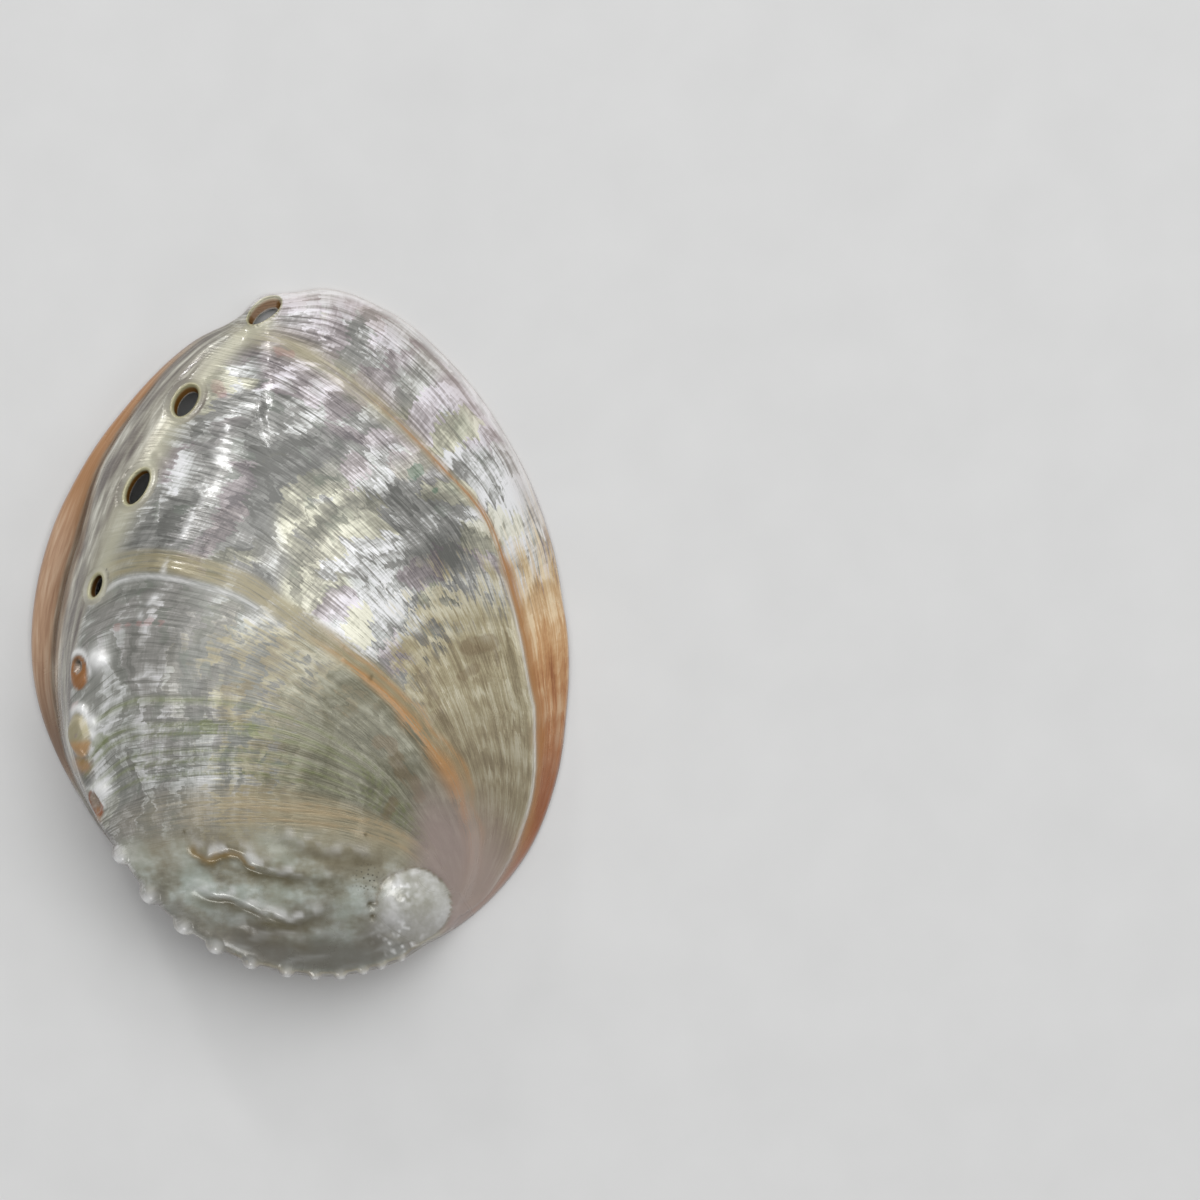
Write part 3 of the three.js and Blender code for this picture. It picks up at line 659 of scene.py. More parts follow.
# Pearly clouds, the streaks in them and their flecks
CLOUD_WEIGHTS = (0.75, 0.55, 0.14)
CLOUD_STREAKS = {"scale": 1.6, "detail": 3, "roughness": 0.55}
FLECKS_TO_CLOUD = 9
CALM_WHEN_OLD = 0.25
# How much the painted highlights and shade of the light mask count in the silver and in the plaid
PATCH_LIGHT = 0.1
PLAID_PATCH_LIGHT = 0.08
DARK_LINES = (0.45, 0.37, 0.0, 0.13)
HUE_PATCH = 0.45
HUE_EDGE = (0.76, 0.92)
GREEN_EDGE = (0.88, 0.92)
GREEN_STRENGTH = 0.15
TEARING = 4
TORN_EDGE = (0.25, 0.75)
MARKED_EDGE = (0.4, 0.66)
BROKEN_EDGE = (0.5, 0.85, 0.5, 1.2)
STREAKY_EDGE = (0.6, 1.4)
GOLD_STRENGTH = 0.75
# Pearly clouds: how many to a metre, and how far they are drawn out
OLD_CLOUDS = (80, 2.0)
SPIRE_CLOUDS = (110, 1)
MILK_EDGE = (0.5, 0.64, 0.0, 0.5)
PALE_STRENGTH = 0.85
BOSS_STRENGTH = 0.9
PIN_DOT_EDGE = (0.2, 0.12)
PIN_DOT_STRENGTH = 0.9
ROW_SHINE_STRENGTH = 0.8
# Streaks of the wall: how many to a band, to a degree, and detail
WALL_STREAKS = (10, 0.11, 4)
LONG_STREAKS = (3.4, 0.05, 2)
WALL_WEIGHTS = (0.9, 0.7)
FLANGE_WEIGHTS = (0.5, 0.4)

NACRE_GLOSS = {"Metallic": 0.2, "Specular IOR Level": 0.3, "Coat Weight": 0.5, "Coat Roughness": 0.13}
NACRE_ROUGHNESS = 0.38
BLOCK_POLISH = -0.14
NACRE_BUMP = {"Strength": 0.7, "Distance": 0.00015}

# Floor, lights and camera, in metres and watts; a light's row is its place, width and power
FLOOR_SIZE = 6
FLOOR_COLOURS = ((0.60, 0.60, 0.595, 1), (0.64, 0.64, 0.635, 1))
FLOOR_GLOSS = {"Roughness": 0.75}
FLOOR_GRAIN = 60
LIGHTS = {
    "overhead": ((0.15, 0.85, 1.8), 2.8, 45),
    "key": ((-0.66, 1.25, 0.62), 0.14, 3.0),
    "front": ((-0.3, -1.25, 0.42), 0.26, 1.3),
    "fill": ((1.1, -0.2, 0.9), 0.6, 2),
}
LIGHT_TARGET = (0, 0, 0.015)
WORLD_COLOUR = (0.97, 0.98, 1, 1)
WORLD_STRENGTH = 0.3
CAMERA_DISTANCE = 5
CAMERA_SENSOR = 36
CAMERA_REACH = 20
FOCUS_HEIGHT = 0.008


def smooth(low, high, value):
    t = np.clip((value - low) / (high - low), 0, 1)
    return t * t * (3 - 2 * t)


def bump(distance, width):
    return np.exp(-(distance / width) ** 2)


def mix(a, b, t):
    return a + (b - a) * t


def span(value, first, full, fading, last):
    """1 between full and fading, and 0 before first and after last."""
    return smooth(first, full, value) * smooth(last, fading, value)


def photo_place(pixel):
    """Millimetres from the shell's middle, for a pixel of the photograph."""
    across = (np.asarray(pixel, float) - PHOTO_MIDDLE) * PIXEL_SIZE
    return across * (1, -1)


def around(table, angles):
    """A smooth closed curve through (degrees, value) pairs, read at angles."""
    places = np.array([pair[0] for pair in table], float)
    values = np.array([pair[1] for pair in table], float)
    places = np.concatenate((places[-2:] - 360, places, places[:2] + 360))
    values = np.concatenate((values[-2:], values, values[:2]))
    gaps = np.diff(places)
    slopes = np.diff(values) / gaps
    before, after = slopes[:-1], slopes[1:]
    turning = before * after <= 0
    safe_before = np.where(turning, 1, before)
    safe_after = np.where(turning, 1, after)
    tangents = (gaps[:-1] + gaps[1:]) / (gaps[1:] / safe_before + gaps[:-1] / safe_after)
    tangents = np.concatenate(([0], np.where(turning, 0, tangents), [0]))
    turned = np.mod(angles, 360)
    index = np.searchsorted(places, turned, side="right") - 1
    gap = gaps[index]
    t = (turned - places[index]) / gap
    first = (2 * t**3 - 3 * t**2 + 1) * values[index] + (t**3 - 2 * t**2 + t) * gap * tangents[index]
    last = (3 * t**2 - 2 * t**3) * values[index + 1] + (t**3 - t**2) * gap * tangents[index + 1]
    return first + last


def cap_height(x, y):
    dx = x - DOME_TOP[0]
    dy = y - DOME_TOP[1]
    return DOME_HEIGHT - DOME_FALL_X * dx * dx - DOME_FALL_Y * dy * dy


def rim_reach(angles):
    """Reach of the rim, drawn in along the row of beads, which stand out from it."""
    return around(RIM_REACH, angles) - BEAD_RECESS * span(angles, *BEADED_SPAN)


def dome_profile(angles, shares):
    """Reach and height of the dome: one row for each angle, one column for each share."""
    edge = (rim_reach(angles) - around(SHOULDER_INSET, angles))[:, None]
    height = around(SHOULDER_HEIGHT, angles)[:, None]
    turn = np.radians(angles)[:, None]
    reach = edge * shares
    cap = cap_height(reach * np.cos(turn), reach * np.sin(turn))
    bend = height - cap_height(edge * np.cos(turn), edge * np.sin(turn))
    return reach, cap + bend * shares**EDGE_BLEND


def wall_profile(angles, shares):
    quarter = shares * math.pi / 2
    out = mix(shares, np.sin(quarter), WALL_ROUNDNESS)
    down = mix(shares, 1 - np.cos(quarter), WALL_ROUNDNESS)
    insets = [around(table, angles)[:, None] for table in (SHOULDER_INSET, GROOVE_INSET)]
    heights = [around(table, angles)[:, None] for table in (SHOULDER_HEIGHT, GROOVE_HEIGHT)]
    reach = rim_reach(angles)[:, None] - mix(*insets, out)
    return reach, mix(*heights, down)


def flange_profile(angles, shares):
    top = around(RIM_TIP_HEIGHT, angles)[:, None] * FLANGE_RISE
    reach = rim_reach(angles)[:, None]
    reach = reach - mix(around(GROOVE_INSET, angles)[:, None], FLANGE_INSET, shares)
    return reach, mix(around(GROOVE_HEIGHT, angles)[:, None], top, shares**FLANGE_CURVE)


def inner_wall_profile(angles, shares):
    reach, height = wall_profile(angles, shares)
    reach = reach - WALL_THICKNESS - around(LIP_THICKENING, angles)[:, None]
    lowest = around(SHELF_HEIGHT, angles)[:, None] + INNER_WALL_ABOVE_SHELF
    return reach, np.maximum(height - INNER_WALL_DROP, lowest)


def inner_dome_profile(angles, shares):
    outer = rim_reach(angles) - around(SHOULDER_INSET, angles)
    inner = outer - WALL_THICKNESS - around(LIP_THICKENING, angles)
    scaled = shares * (inner / outer)[:, None]
    reach, height = dome_profile(angles, scaled)
    return reach, height - SHELL_THICKNESS


def even_steps(columns, count, softness):
    """Each column's profile at evenly spaced steps, with its corners rounded."""
    share = np.linspace(0, 1, count)
    result = np.empty((3, columns.shape[1], count))
    for row in range(columns.shape[1]):
        length = np.hypot(*np.diff(columns[:2, row]))
        along = np.concatenate(([0], np.cumsum(length)))
        for part in range(3):
            result[part, row] = np.interp(share * along[-1], along, columns[part, row])
    offsets = np.arange(-ROUNDING_REACH, ROUNDING_REACH + 1)
    weights = np.exp(-0.5 * (offsets / softness) ** 2)
    weights /= weights.sum()
    ends = (ROUNDING_REACH, ROUNDING_REACH)
    padded = np.pad(result, ((0, 0), (0, 0), ends), mode="reflect", reflect_type="odd")
    return sum(weight * padded[:, :, k:k + count] for k, weight in enumerate(weights))


def banded(profile, angles, shares, first):
    """A profile with a band number that runs from first to first + 1 along it."""
    reach, height = profile(angles, shares)
    band = np.broadcast_to(first + shares, reach.shape)
    return np.stack((reach, height, band))


def outer_columns(angles):
    """Outside of the shell: the dome is band 0 to 1, the wall 1 to 2, the flange 2 to 3."""
    dome = banded(dome_profile, angles, np.linspace(0, 1, DOME_SAMPLES), 0)
    wall = banded(wall_profile, angles, np.linspace(WALL_START, 1, WALL_SAMPLES), 1)
    body = even_steps(np.concatenate((dome, wall), axis=2), BODY_SAMPLES, SHOULDER_SOFTNESS)
    flange = banded(flange_profile, angles, np.linspace(FLANGE_START, 1, FLANGE_SAMPLES), 2)
    return even_steps(np.concatenate((body, flange), axis=2), OUTER_RINGS + 1, GROOVE_SOFTNESS)


def stacked(reach, height, band):
    """One stretch of the profile, with the same bands in each column."""
    return np.stack((reach, height, np.broadcast_to(band, reach.shape)))


def rim_columns(angles):
    """The round edge, the flat foot and the shelf: band 3 to 4, 4 to 5 and 5 to 6."""
    full = rim_reach(angles)[:, None]
    tables = (RIM_TIP_HEIGHT, FLAT_WIDTH, SHELF_INSET, SHELF_HEIGHT)
    tip, flat, shelf_inset, shelf_height = [around(table, angles)[:, None] for table in tables]
    rounding = np.linspace(0, 1, EDGE_SAMPLES)
    turn = rounding * math.pi / 2
    edge = stacked(full - FOOT_INSET * (1 - np.cos(turn)), tip * (1 - np.sin(turn)), 3 + rounding)
    share = np.linspace(1 / FOOT_SAMPLES, 1, FOOT_SAMPLES)
    foot = stacked(full - FOOT_INSET - flat * share, 0 * tip * share, 4 + share)
    inset = mix(FOOT_INSET + flat, shelf_inset, share)
    shelf = stacked(full - inset, shelf_height * share, 5 + share)
    return np.concatenate((edge, foot, shelf), axis=2)


def inner_columns(angles):
    """Inside of the shell: the inner wall is band 6 to 7 and the bowl 7 to 8."""
    wall_shares = np.linspace(*INNER_WALL_SPAN, INNER_WALL_SAMPLES)
    wall = stacked(*inner_wall_profile(angles, wall_shares), np.linspace(6, 7, INNER_WALL_SAMPLES))
    bowl_shares = np.linspace(1, 0, BOWL_SAMPLES)
    bowl = stacked(*inner_dome_profile(angles, bowl_shares), np.linspace(7, LAST_BAND, BOWL_SAMPLES))
    return even_steps(np.concatenate((wall, bowl), axis=2), INNER_RINGS + 1, LINING_SOFTNESS)


def join(upper, lower):
    """Triangles between two closed rings of vertex numbers, which may differ in length."""
    triangles = []
    i = 0
    j = 0
    while i < len(upper) or j < len(lower):
        a = upper[i % len(upper)]
        b = lower[j % len(lower)]
        lower_next = (j + 1) / len(lower)
        upper_next = (i + 1) / len(upper)
        if j < len(lower) and (i >= len(upper) or lower_next <= upper_next):
            triangles.append((a, b, lower[(j + 1) % len(lower)]))
            j += 1
        else:
            triangles.append((a, b, upper[(i + 1) % len(upper)]))
            i += 1
    return triangles


class Surface:
    """Growing lists of points, with the band of each, and triangles."""

    def __init__(self):
        self.points = []
        self.bands = []
        self.rims = []
        self.triangles = []
        self.count = 0

    def ring(self, points, band, rim=0):
        numbers = list(range(self.count, self.count + len(points)))
        self.points.append(np.asarray(points, float))
        self.bands.append(np.broadcast_to(band, len(points)).astype(float))
        self.rims.append(np.broadcast_to(rim, len(points)).astype(float))
        self.count += len(points)
        return numbers

    def close(self):
        self.points = [np.concatenate(self.points)]
        self.bands = [np.concatenate(self.bands)]
        self.rims = [np.concatenate(self.rims)]
        self.triangles = [tuple(t) for t in self.triangles]


def ring_step(share):
    """How many columns a ring skips, so that its points stay about as far apart."""
    return next(step for least, step in RING_STEPS if share > least)


def add_columns(surface, angles, columns, steps, last_ring):
    """Adds the rings of one stretch of the profile and joins each to the one before."""
    reach, height, band = columns
    for index, step in steps:
        turn = np.radians(angles[::step])
        r = reach[::step, index]
        points = np.stack((r * np.cos(turn), r * np.sin(turn), height[::step, index]), axis=1)
        numbers = surface.ring(points, band[::step, index])
        if last_ring is not None:
            surface.triangles += join(last_ring, numbers)
        last_ring = numbers
    return last_ring


def column_angles():
    """Degrees of the columns, closer together at the first hole and along the beads."""
    fine = np.linspace(0, 360, ANGLE_SAMPLES)
    middle, width, closer = FINE_HOLE
    closeness = 1 + closer * bump(fine - middle, width) + FINE_BEADS_CLOSENESS * span(fine, *FINE_BEADS)
    passed = np.concatenate(([0], np.cumsum((closeness[1:] + closeness[:-1]) / 2)))
    return np.interp(np.arange(AROUND_STEPS) / AROUND_STEPS, passed / passed[-1], fine)


def base_surface():
    """The whole shell without holes or relief, as one closed surface."""
    surface = Surface()
    angles = column_angles()
    outer = outer_columns(angles)
    rim = rim_columns(angles)
    inner = inner_columns(angles)
    top = surface.ring([(0, 0, outer[1, 0, 0])], 0)[0]
    steps = [(k, ring_step(k / OUTER_RINGS)) for k in range(1, OUTER_RINGS + 1)]
    ring = add_columns(surface, angles, outer, steps, None)
    first = list(range(1, 1 + AROUND_STEPS // steps[0][1]))
    surface.triangles += [(top, a, b) for a, b in zip(first, first[1:] + first[:1])]
    steps = [(k, 1 if k < EDGE_SAMPLES else 2) for k in range(rim.shape[2])]
    ring = add_columns(surface, angles, rim, steps, ring)
    steps = [(k, 2 * ring_step(1 - k / INNER_RINGS)) for k in range(1, INNER_RINGS)]
    ring = add_columns(surface, angles, inner, steps, ring)
    bottom = surface.ring([(0, 0, inner[1, 0, -1])], LAST_BAND)[0]
    surface.triangles += [(bottom, b, a) for a, b in zip(ring, ring[1:] + ring[:1])]
    surface.close()
    return surface


def local_frame(place, normal, turn):
    """Axes on a hole: along its length, across it and out of the shell."""
    out = normal / np.linalg.norm(normal)
    along = np.array((math.cos(math.radians(turn)), math.sin(math.radians(turn)), 0))
    along = along - out * along.dot(out)
    along /= np.linalg.norm(along)
    return place, along, np.cross(out, along), out


def to_local(points, axes):
    place, along, across, out = axes
    offset = points - place
    return offset @ along, offset @ across, offset @ out


def place_local(axes, u, v, s):
    place, along, across, out = axes
    return place + u[:, None] * along + v[:, None] * across + s[:, None] * out


def leaning(place, degrees):
    """The direction out from the middle along the floor, and one between it and straight up."""
    outward = np.array((place[0], place[1], 0)) / math.hypot(place[0], place[1])
    lean = math.radians(degrees)
    return outward, outward * math.sin(lean) + np.array((0, 0, math.cos(lean)))


def surface_heights(known, queries, spread):
    """Height over a hole's plane at each query, from a curved fit to known points."""
    u, v, s = known
    du = queries[0][:, None] - u
    dv = queries[1][:, None] - v
    weights = np.exp(-(du**2 + dv**2) / (2 * spread**2))
    terms = np.stack((np.ones_like(du), du, dv, du * du, du * dv, dv * dv), axis=2)
    weighted = terms * weights[:, :, None]
    system = np.einsum("qki,qkj->qij", weighted, terms) + np.eye(6) * 1e-9
    right = np.einsum("qki,k->qi", weighted, s)
    return np.linalg.solve(system, right[:, :, None])[:, 0, 0]


def cut_loop(triangles, points, sheet, inside):
    """Takes out the sheet's triangles that touch the inside, and gives the loop around them."""
    corners = np.array(triangles)
    touched = inside[corners].any(axis=1) & sheet[corners].all(axis=1)
    edges = {}
    for a, b, c in corners[touched]:
        for start, end in ((a, b), (b, c), (c, a)):
            if (end, start) in edges:
                del edges[(end, start)]
            else:
                edges[(start, end)] = True
    follow = dict(edges.keys())
    start = next(iter(follow))
    loop = [start]
    while follow[loop[-1]] != start:
        loop.append(follow[loop[-1]])
    kept = [tuple(t) for t in corners[~touched]]
    return kept, loop


def even_angles(angles, rounds):
    """Angles of a loop, moved towards even spacing."""
    even = np.arange(len(angles)) * 2 * math.pi / len(angles)
    drift = np.unwrap(angles) - even
    for _ in range(rounds):
        drift = (np.roll(drift, 1) + drift + np.roll(drift, -1)) / 3
    return even + drift


def collar_lift(margin):
    """Height of a hole's raised round edge, at a distance outside the hole."""
    rise = COLLAR_HEIGHT * bump(margin - COLLAR_MIDDLE, COLLAR_WIDTH)
    return rise - HOLE_EDGE_DROP * np.exp(-margin / HOLE_EDGE_WIDTH)


def lining_lift(margin):
    return LINING_EDGE * np.exp(-margin / LINING_EDGE)


def cut_side(surface, axes, size, margins, lift, lining):
    """Cuts one side of the shell at a hole and adds finer rings up to the hole's edge."""
    surface.close()
    points = surface.points[0]
    bands = surface.bands[0]
    u, v, s = to_local(points, axes)
    sheet = (bands > INSIDE_START if lining else bands < OUTSIDE_END) & (np.abs(s) < HOLE_DEPTH)
    a, b = np.array(size) / 2 + margins[0]
    inside = sheet & ((u / a) ** 2 + (v / b) ** 2 < 1)
    surface.triangles, loop = cut_loop(surface.triangles, points, sheet, inside)
    if lining:
        loop = loop[::-1]
    turn = np.arctan2(v[loop] / b, u[loop] / a)
    first = int(np.argmin(np.abs(turn)))
    loop = loop[first:] + loop[:first]
    turn = np.roll(turn, -first)
    near = sheet & ((u / (a + HOLE_SURROUND)) ** 2 + (v / (b + HOLE_SURROUND)) ** 2 < 1)
    known = (u[near], v[near], s[near])
    band = bands[loop].mean()
    last_ring = loop
    for step, margin in enumerate(margins):
        angles = even_angles(turn, FIRST_EVENING + NEXT_EVENING * step)
        ru = (size[0] / 2 + margin) * np.cos(angles)
        rv = (size[1] / 2 + margin) * np.sin(angles)
        height = surface_heights(known, (ru, rv), FIT_SPREAD) + lift(margin)
        ring_points = place_local(axes, ru, rv, height)
        numbers = surface.ring(ring_points, band, rim=1 - smooth(*COLLAR_SPAN, margin))
        surface.triangles += join(last_ring, numbers) if lining else join(numbers, last_ring)
        last_ring = numbers
    return last_ring


def open_hole(surface, hole):
    """Cuts one open hole through the shell, with its edge and its inner wall."""
    x, y = photo_place(hole["pixel"])
    points = surface.points[0]
    distance = np.hypot(points[:, 0] - x, points[:, 1] - y)
    nearest = int(np.argmin(np.where(surface.bands[0] < OUTSIDE_END, distance, FAR)))
    outward, normal = leaning((x, y), HOLE_LEAN)
    axes = local_frame(np.array((x, y, points[nearest, 2])), normal, hole["turn"])
    shares = FINE_MARGINS if hole["margin"] > 1 else COARSE_MARGINS
    top = cut_side(surface, axes, hole["size"], [m * hole["margin"] for m in shares], collar_lift, False)
    margins = [m * min(LINING_MARGIN, hole["margin"]) for m in COARSE_MARGINS]
    inner_axes = (axes[0] - outward * hole["slip"], *axes[1:])
    low = cut_side(surface, inner_axes, hole["inner"], margins, lining_lift, True)
    surface.close()
    upper = surface.points[0][top]
    lower = surface.points[0][low]
    target = lower[np.arange(len(top)) * len(low) // len(top)]
    ring = top
    for share in BORE_SHARES:
        numbers = surface.ring(mix(upper, target, share), BORE_BAND, rim=1 + share)
        surface.triangles += join(numbers, ring)
        ring = numbers
    surface.triangles += join(low, ring)
    surface.close()


class Line:
    """A curve traced over the photograph, in millimetres from the shell's middle."""

    def __init__(self, pixels, extension=0):
        traced = smooth_curve(photo_place(pixels))
        outward = traced[0] - traced[1]
        beyond = traced[0] + outward / math.hypot(*outward) * (extension + 0.01)
        self.points = np.concatenate((beyond[None], traced))
        steps = np.hypot(*np.diff(self.points, axis=0).T)
        self.along = np.concatenate(([0], np.cumsum(steps))) - extension
        self.length = self.along[-1]

    def at(self, share):
        """The place at a share of the way along."""
        distance = share * self.length
        return np.array([np.interp(distance, self.along, axis) for axis in self.points.T])

    def nearest(self, places):
        """Signed distance, positive on the older side, and the share of the way along."""
        best = np.full(len(places), 1e9)
        side = np.ones(len(places))
        share = np.zeros(len(places))
        for k, (start, end) in enumerate(zip(self.points[:-1], self.points[1:])):
            step = end - start
            offset = places - start
            t = np.clip(offset @ step / step.dot(step), 0, 1)
            apart = offset - t[:, None] * step
            distance = np.hypot(apart[:, 0], apart[:, 1])
            closer = distance < best
            best = np.where(closer, distance, best)
            cross = step[0] * apart[:, 1] - step[1] * apart[:, 0]
            side = np.where(closer, np.where(cross > 0, -1, 1), side)
            at = (self.along[k] + t * (self.along[k + 1] - self.along[k])) / self.length
            share = np.where(closer, at, share)
        return best * side, share


def smooth_curve(points, steps=4):
    """More points on a smooth curve through the given ones."""
    ends = np.concatenate((2 * points[:1] - points[1:2], points, 2 * points[-1:] - points[-2:-1]))
    t = (np.arange(steps) / steps)[:, None]
    pieces = []
    for a, b, c, d in zip(ends[:-3], ends[1:-2], ends[2:-1], ends[3:]):
        cubic = -a + 3 * b - 3 * c + d
        square = 2 * a - 5 * b + 4 * c - d
        pieces.append(0.5 * (2 * b + (c - a) * t + square * t**2 + cubic * t**3))
    return np.concatenate(pieces + [points[-1:]])


def growth_fields(places):
    """Age, in millimetres of growth from the margin, and share of the way along the growth line."""
    lines = [Line(pixels, LINE_EXTENSION) for pixels in GROWTH_LINES]
    distances, shares = zip(*[line.nearest(places) for line in lines])
    middles = [line.at(MIDDLE_SHARE) for line in lines]
    gaps = [math.hypot(*(b - a)) for a, b in zip(middles, middles[1:])]
    ages = np.concatenate(([0], np.cumsum(gaps)))
    age = distances[0].copy()
    share = shares[0].copy()
    for k in range(len(lines) - 1):
        before = np.maximum(distances[k], 0)
        after = np.maximum(-distances[k + 1], 0)
        t = before / np.maximum(before + after, 0.01)
        past = distances[k] > 0
        age = np.where(past, mix(ages[k], ages[k + 1], t), age)
        share = np.where(past, mix(shares[k], shares[k + 1], t), share)
    oldest = distances[-1] > 0
    age = np.where(oldest, ages[-1] + distances[-1], age)
    share = np.where(oldest, shares[-1], share)
    return age, share, ages


def lattice(column, row, seed):
    """A repeatable number from 0 to 1 for each whole-number place."""
    a, b, c, spread = LATTICE
    mixed = np.sin(column * a + row * b + seed * c) * spread
    return mixed - np.floor(mixed)


def noise(x, y, seed):
    """Smooth noise from -1 to 1."""
    column, row = np.floor(x), np.floor(y)
    u, v = x - column, y - row
    u, v = u * u * (3 - 2 * u), v * v * (3 - 2 * v)
    low = mix(lattice(column, row, seed), lattice(column + 1, row, seed), u)
    high = mix(lattice(column, row + 1, seed), lattice(column + 1, row + 1, seed), u)
    return mix(low, high, v) * 2 - 1


def layers(a, b, waves):
    """Waves added up: height, length along a, width along b and seed of each."""
    return sum(height * noise(a / length, b / width, seed) for height, length, width, seed in waves)


def vertex_normals(points, triangles):
    a, b, c = (points[triangles[:, k]] for k in range(3))
    faces = np.cross(b - a, c - a)
    normals = np.zeros_like(points)
    for k in range(3):
        np.add.at(normals, triangles[:, k], faces)
    return normals / np.maximum(np.linalg.norm(normals, axis=1), 1e-9)[:, None]


class Fields:
    """Everything that the relief and the colours need to know at each point."""

    def __init__(self, points, bands, rims):
        self.points = points
        self.band = bands
        self.rim = rims
        self.places = points[:, :2]
        self.x, self.y = self.places.T
        self.angle = np.degrees(np.arctan2(self.y, self.x)) % 360
        self.age, self.share, ages = growth_fields(self.places)
        self.to_orange = self.age - ages[-1]
        self.to_pole = self.near(SPIRE_POLE)
        drop = around(SHOULDER_HEIGHT, self.angle) - around(GROOVE_HEIGHT, self.angle)
        self.walled = smooth(*WALL_DROP, drop)
        self.flanged = smooth(*FLANGE_WIDTH, around(GROOVE_INSET, self.angle))
        self.outside = 1 - smooth(*OUTSIDE_EDGE, bands)
        self.inside = smooth(*INSIDE_EDGE, bands)
        self.dome = 1 - smooth(*DOME_EDGE, bands) * self.walled
        self.stop, self.stop_share = self.line(LATEST_STOP, LINE_EXTENSION)
        self.older, self.older_share = self.line(OLDER_STOP, LINE_EXTENSION)
        self.orange, _ = self.line(ORANGE_LINE, LINE_EXTENSION)
        right, up = (self.places - photo_place(SPIRE_PIXEL)).T
        uneven = 1 + layers(right, up, SPIRE_WAVES)
        self.spire = np.hypot(right, up * SPIRE_STRETCH) / SPIRE_RADIUS * uneven
        self.spire_angle = np.degrees(np.arctan2(up, right))
        self.spire_left = smooth(*SPIRE_LEFT, np.abs(self.spire_angle))

    def line(self, pixels, extension=0):
        """Signed distance from a traced line, and the share of the way along it."""
        return Line(pixels, extension).nearest(self.places)

    def near(self, pixel):
        return np.hypot(*(self.places - photo_place(pixel)).T)

    def surface_point(self, pixel):
        """The point of the outside that a pixel of the photograph shows."""
        return self.points[int(np.argmin(np.where(self.band < OUTSIDE_EDGE[0], self.near(pixel), FAR)))]

    def apart(self, place, stretch=(1, 1, 1)):
        """Distance from a place, in all three directions."""
        return np.linalg.norm((self.points - place) * stretch, axis=1)


def bead_lift(fields):
    """Height of the beads, how near each point is to one, for their painted sheen, and their painted
    highlights.
    """
    lift, nearness, highlights = np.zeros((3, len(fields.x)))
    lowest, highest = SHOULDER_BAND
    shoulder = (fields.band > lowest) & (fields.band < highest)
    outside = fields.outside > 0.5
    for pixel, radius in BEADS:
        centre = fields.points[int(np.argmin(np.where(shoulder, fields.near(pixel), FAR)))]
        apart = fields.apart(centre, (1, 1, BEAD_STRETCH)) / radius
        lift += np.where(outside, BEAD_HEIGHT * radius * np.clip(1 - apart**2, 0, 1) ** BEAD_FULLNESS, 0)
        nearness = np.maximum(nearness, np.where(outside, bump(apart, BEAD_SHEEN_WIDTH), 0))
        tip = np.hypot(*(fields.places - centre[:2] - np.array(BEAD_HIGHLIGHT_PLACE) * radius).T)
        highlights = np.maximum(highlights, fields.outside * bump(tip, BEAD_HIGHLIGHT_SIZE * radius) * (apart < BEAD_HIGHLIGHT_END))
    return lift, nearness, highlights


def seal_coordinates(fields, hole):
    """Places on a sealed hole's own ellipse, and a mask of the side of the shell that it is on."""
    place = fields.surface_point(hole["pixel"])
    _, normal = leaning(place, SEALED_LEAN)
    along, across, out = to_local(fields.points, local_frame(place, normal, hole["turn"]))
    length, width = np.array(hole["size"]) / 2
    here = fields.outside * (fields.band < BORE_BAND) * (np.abs(out) < SEALED_DEPTH)
    return along / length, across / width, here


def crescent_share(fields, hole, reach):
    """The crescent of painted highlight beside a sealed hole, on the side that faces the dome's top."""
    turn = math.radians(CRESCENT_TURN)
    offset = fields.places - photo_place(hole["pixel"])
    facing = offset @ (math.cos(turn), math.sin(turn)) / np.maximum(np.hypot(*offset.T), 0.1)
    return bump(reach - CRESCENT_REACH, CRESCENT_WIDTH) * smooth(*CRESCENT_FACING, facing)


def sealed_hole(fields, hole, seals):
    """Height of one sealed hole; its colours and painted highlights are added to the masks."""
    along, across, here = seal_coordinates(fields, hole)
    reach = np.hypot(along, across)
    opening = np.hypot(along - hole["slip"], across) / hole["share"]
    whole = here * smooth(*SEAL_EDGE, reach)
    inner = here * smooth(*OPENING_EDGE, opening)
    low = smooth(*SEAL_LOW, along)
    crescent = here * crescent_share(fields, hole, reach)
    pixel, radius, height = hole["swell_and_highlight"]
    apart = fields.apart(fields.surface_point(pixel))
    swelling = here * bump(apart, radius) * smooth(*SWELL_START, reach)
    added = {
        hole["colour"]: whole * (1 - inner), "pit": inner,
        "swell_and_highlight": np.maximum(crescent, SWELL_HIGHLIGHT * swelling),
    }
    if hole["colour"] == "curl":
        added["curl_low"] = whole * low
    if hole["colour"] == "red_ring":
        added["pit_low"] = inner * low
    for name, mask in added.items():
        seals[name] = np.maximum(seals.get(name, 0), mask)
    risen = hole["rise"] * smooth(*SEAL_SLOPE, reach) - hole["depth"] * smooth(*OPENING_SLOPE, opening)
    return here * risen + height * swelling + CRESCENT_HEIGHT * crescent


def sealed_lift(fields):
    """Height of the sealed holes, and masks of their colours and painted highlights."""
    seals = {}
    lift = sum(sealed_hole(fields, hole, seals) for hole in SEALED_HOLES)
    knob = fields.apart(fields.surface_point(SMALL_KNOB))
    lift += KNOB_HEIGHT * fields.outside * bump(knob, KNOB_RADIUS)
    seals["swell_and_highlight"] = np.clip(seals["swell_and_highlight"] + fields.outside * bump(knob, KNOB_HIGHLIGHT), 0, 1)
    pin = fields.apart(fields.surface_point(PIN_HOLE))
    return lift - PIN_DEPTH * fields.outside * bump(pin, PIN_RADIUS), seals


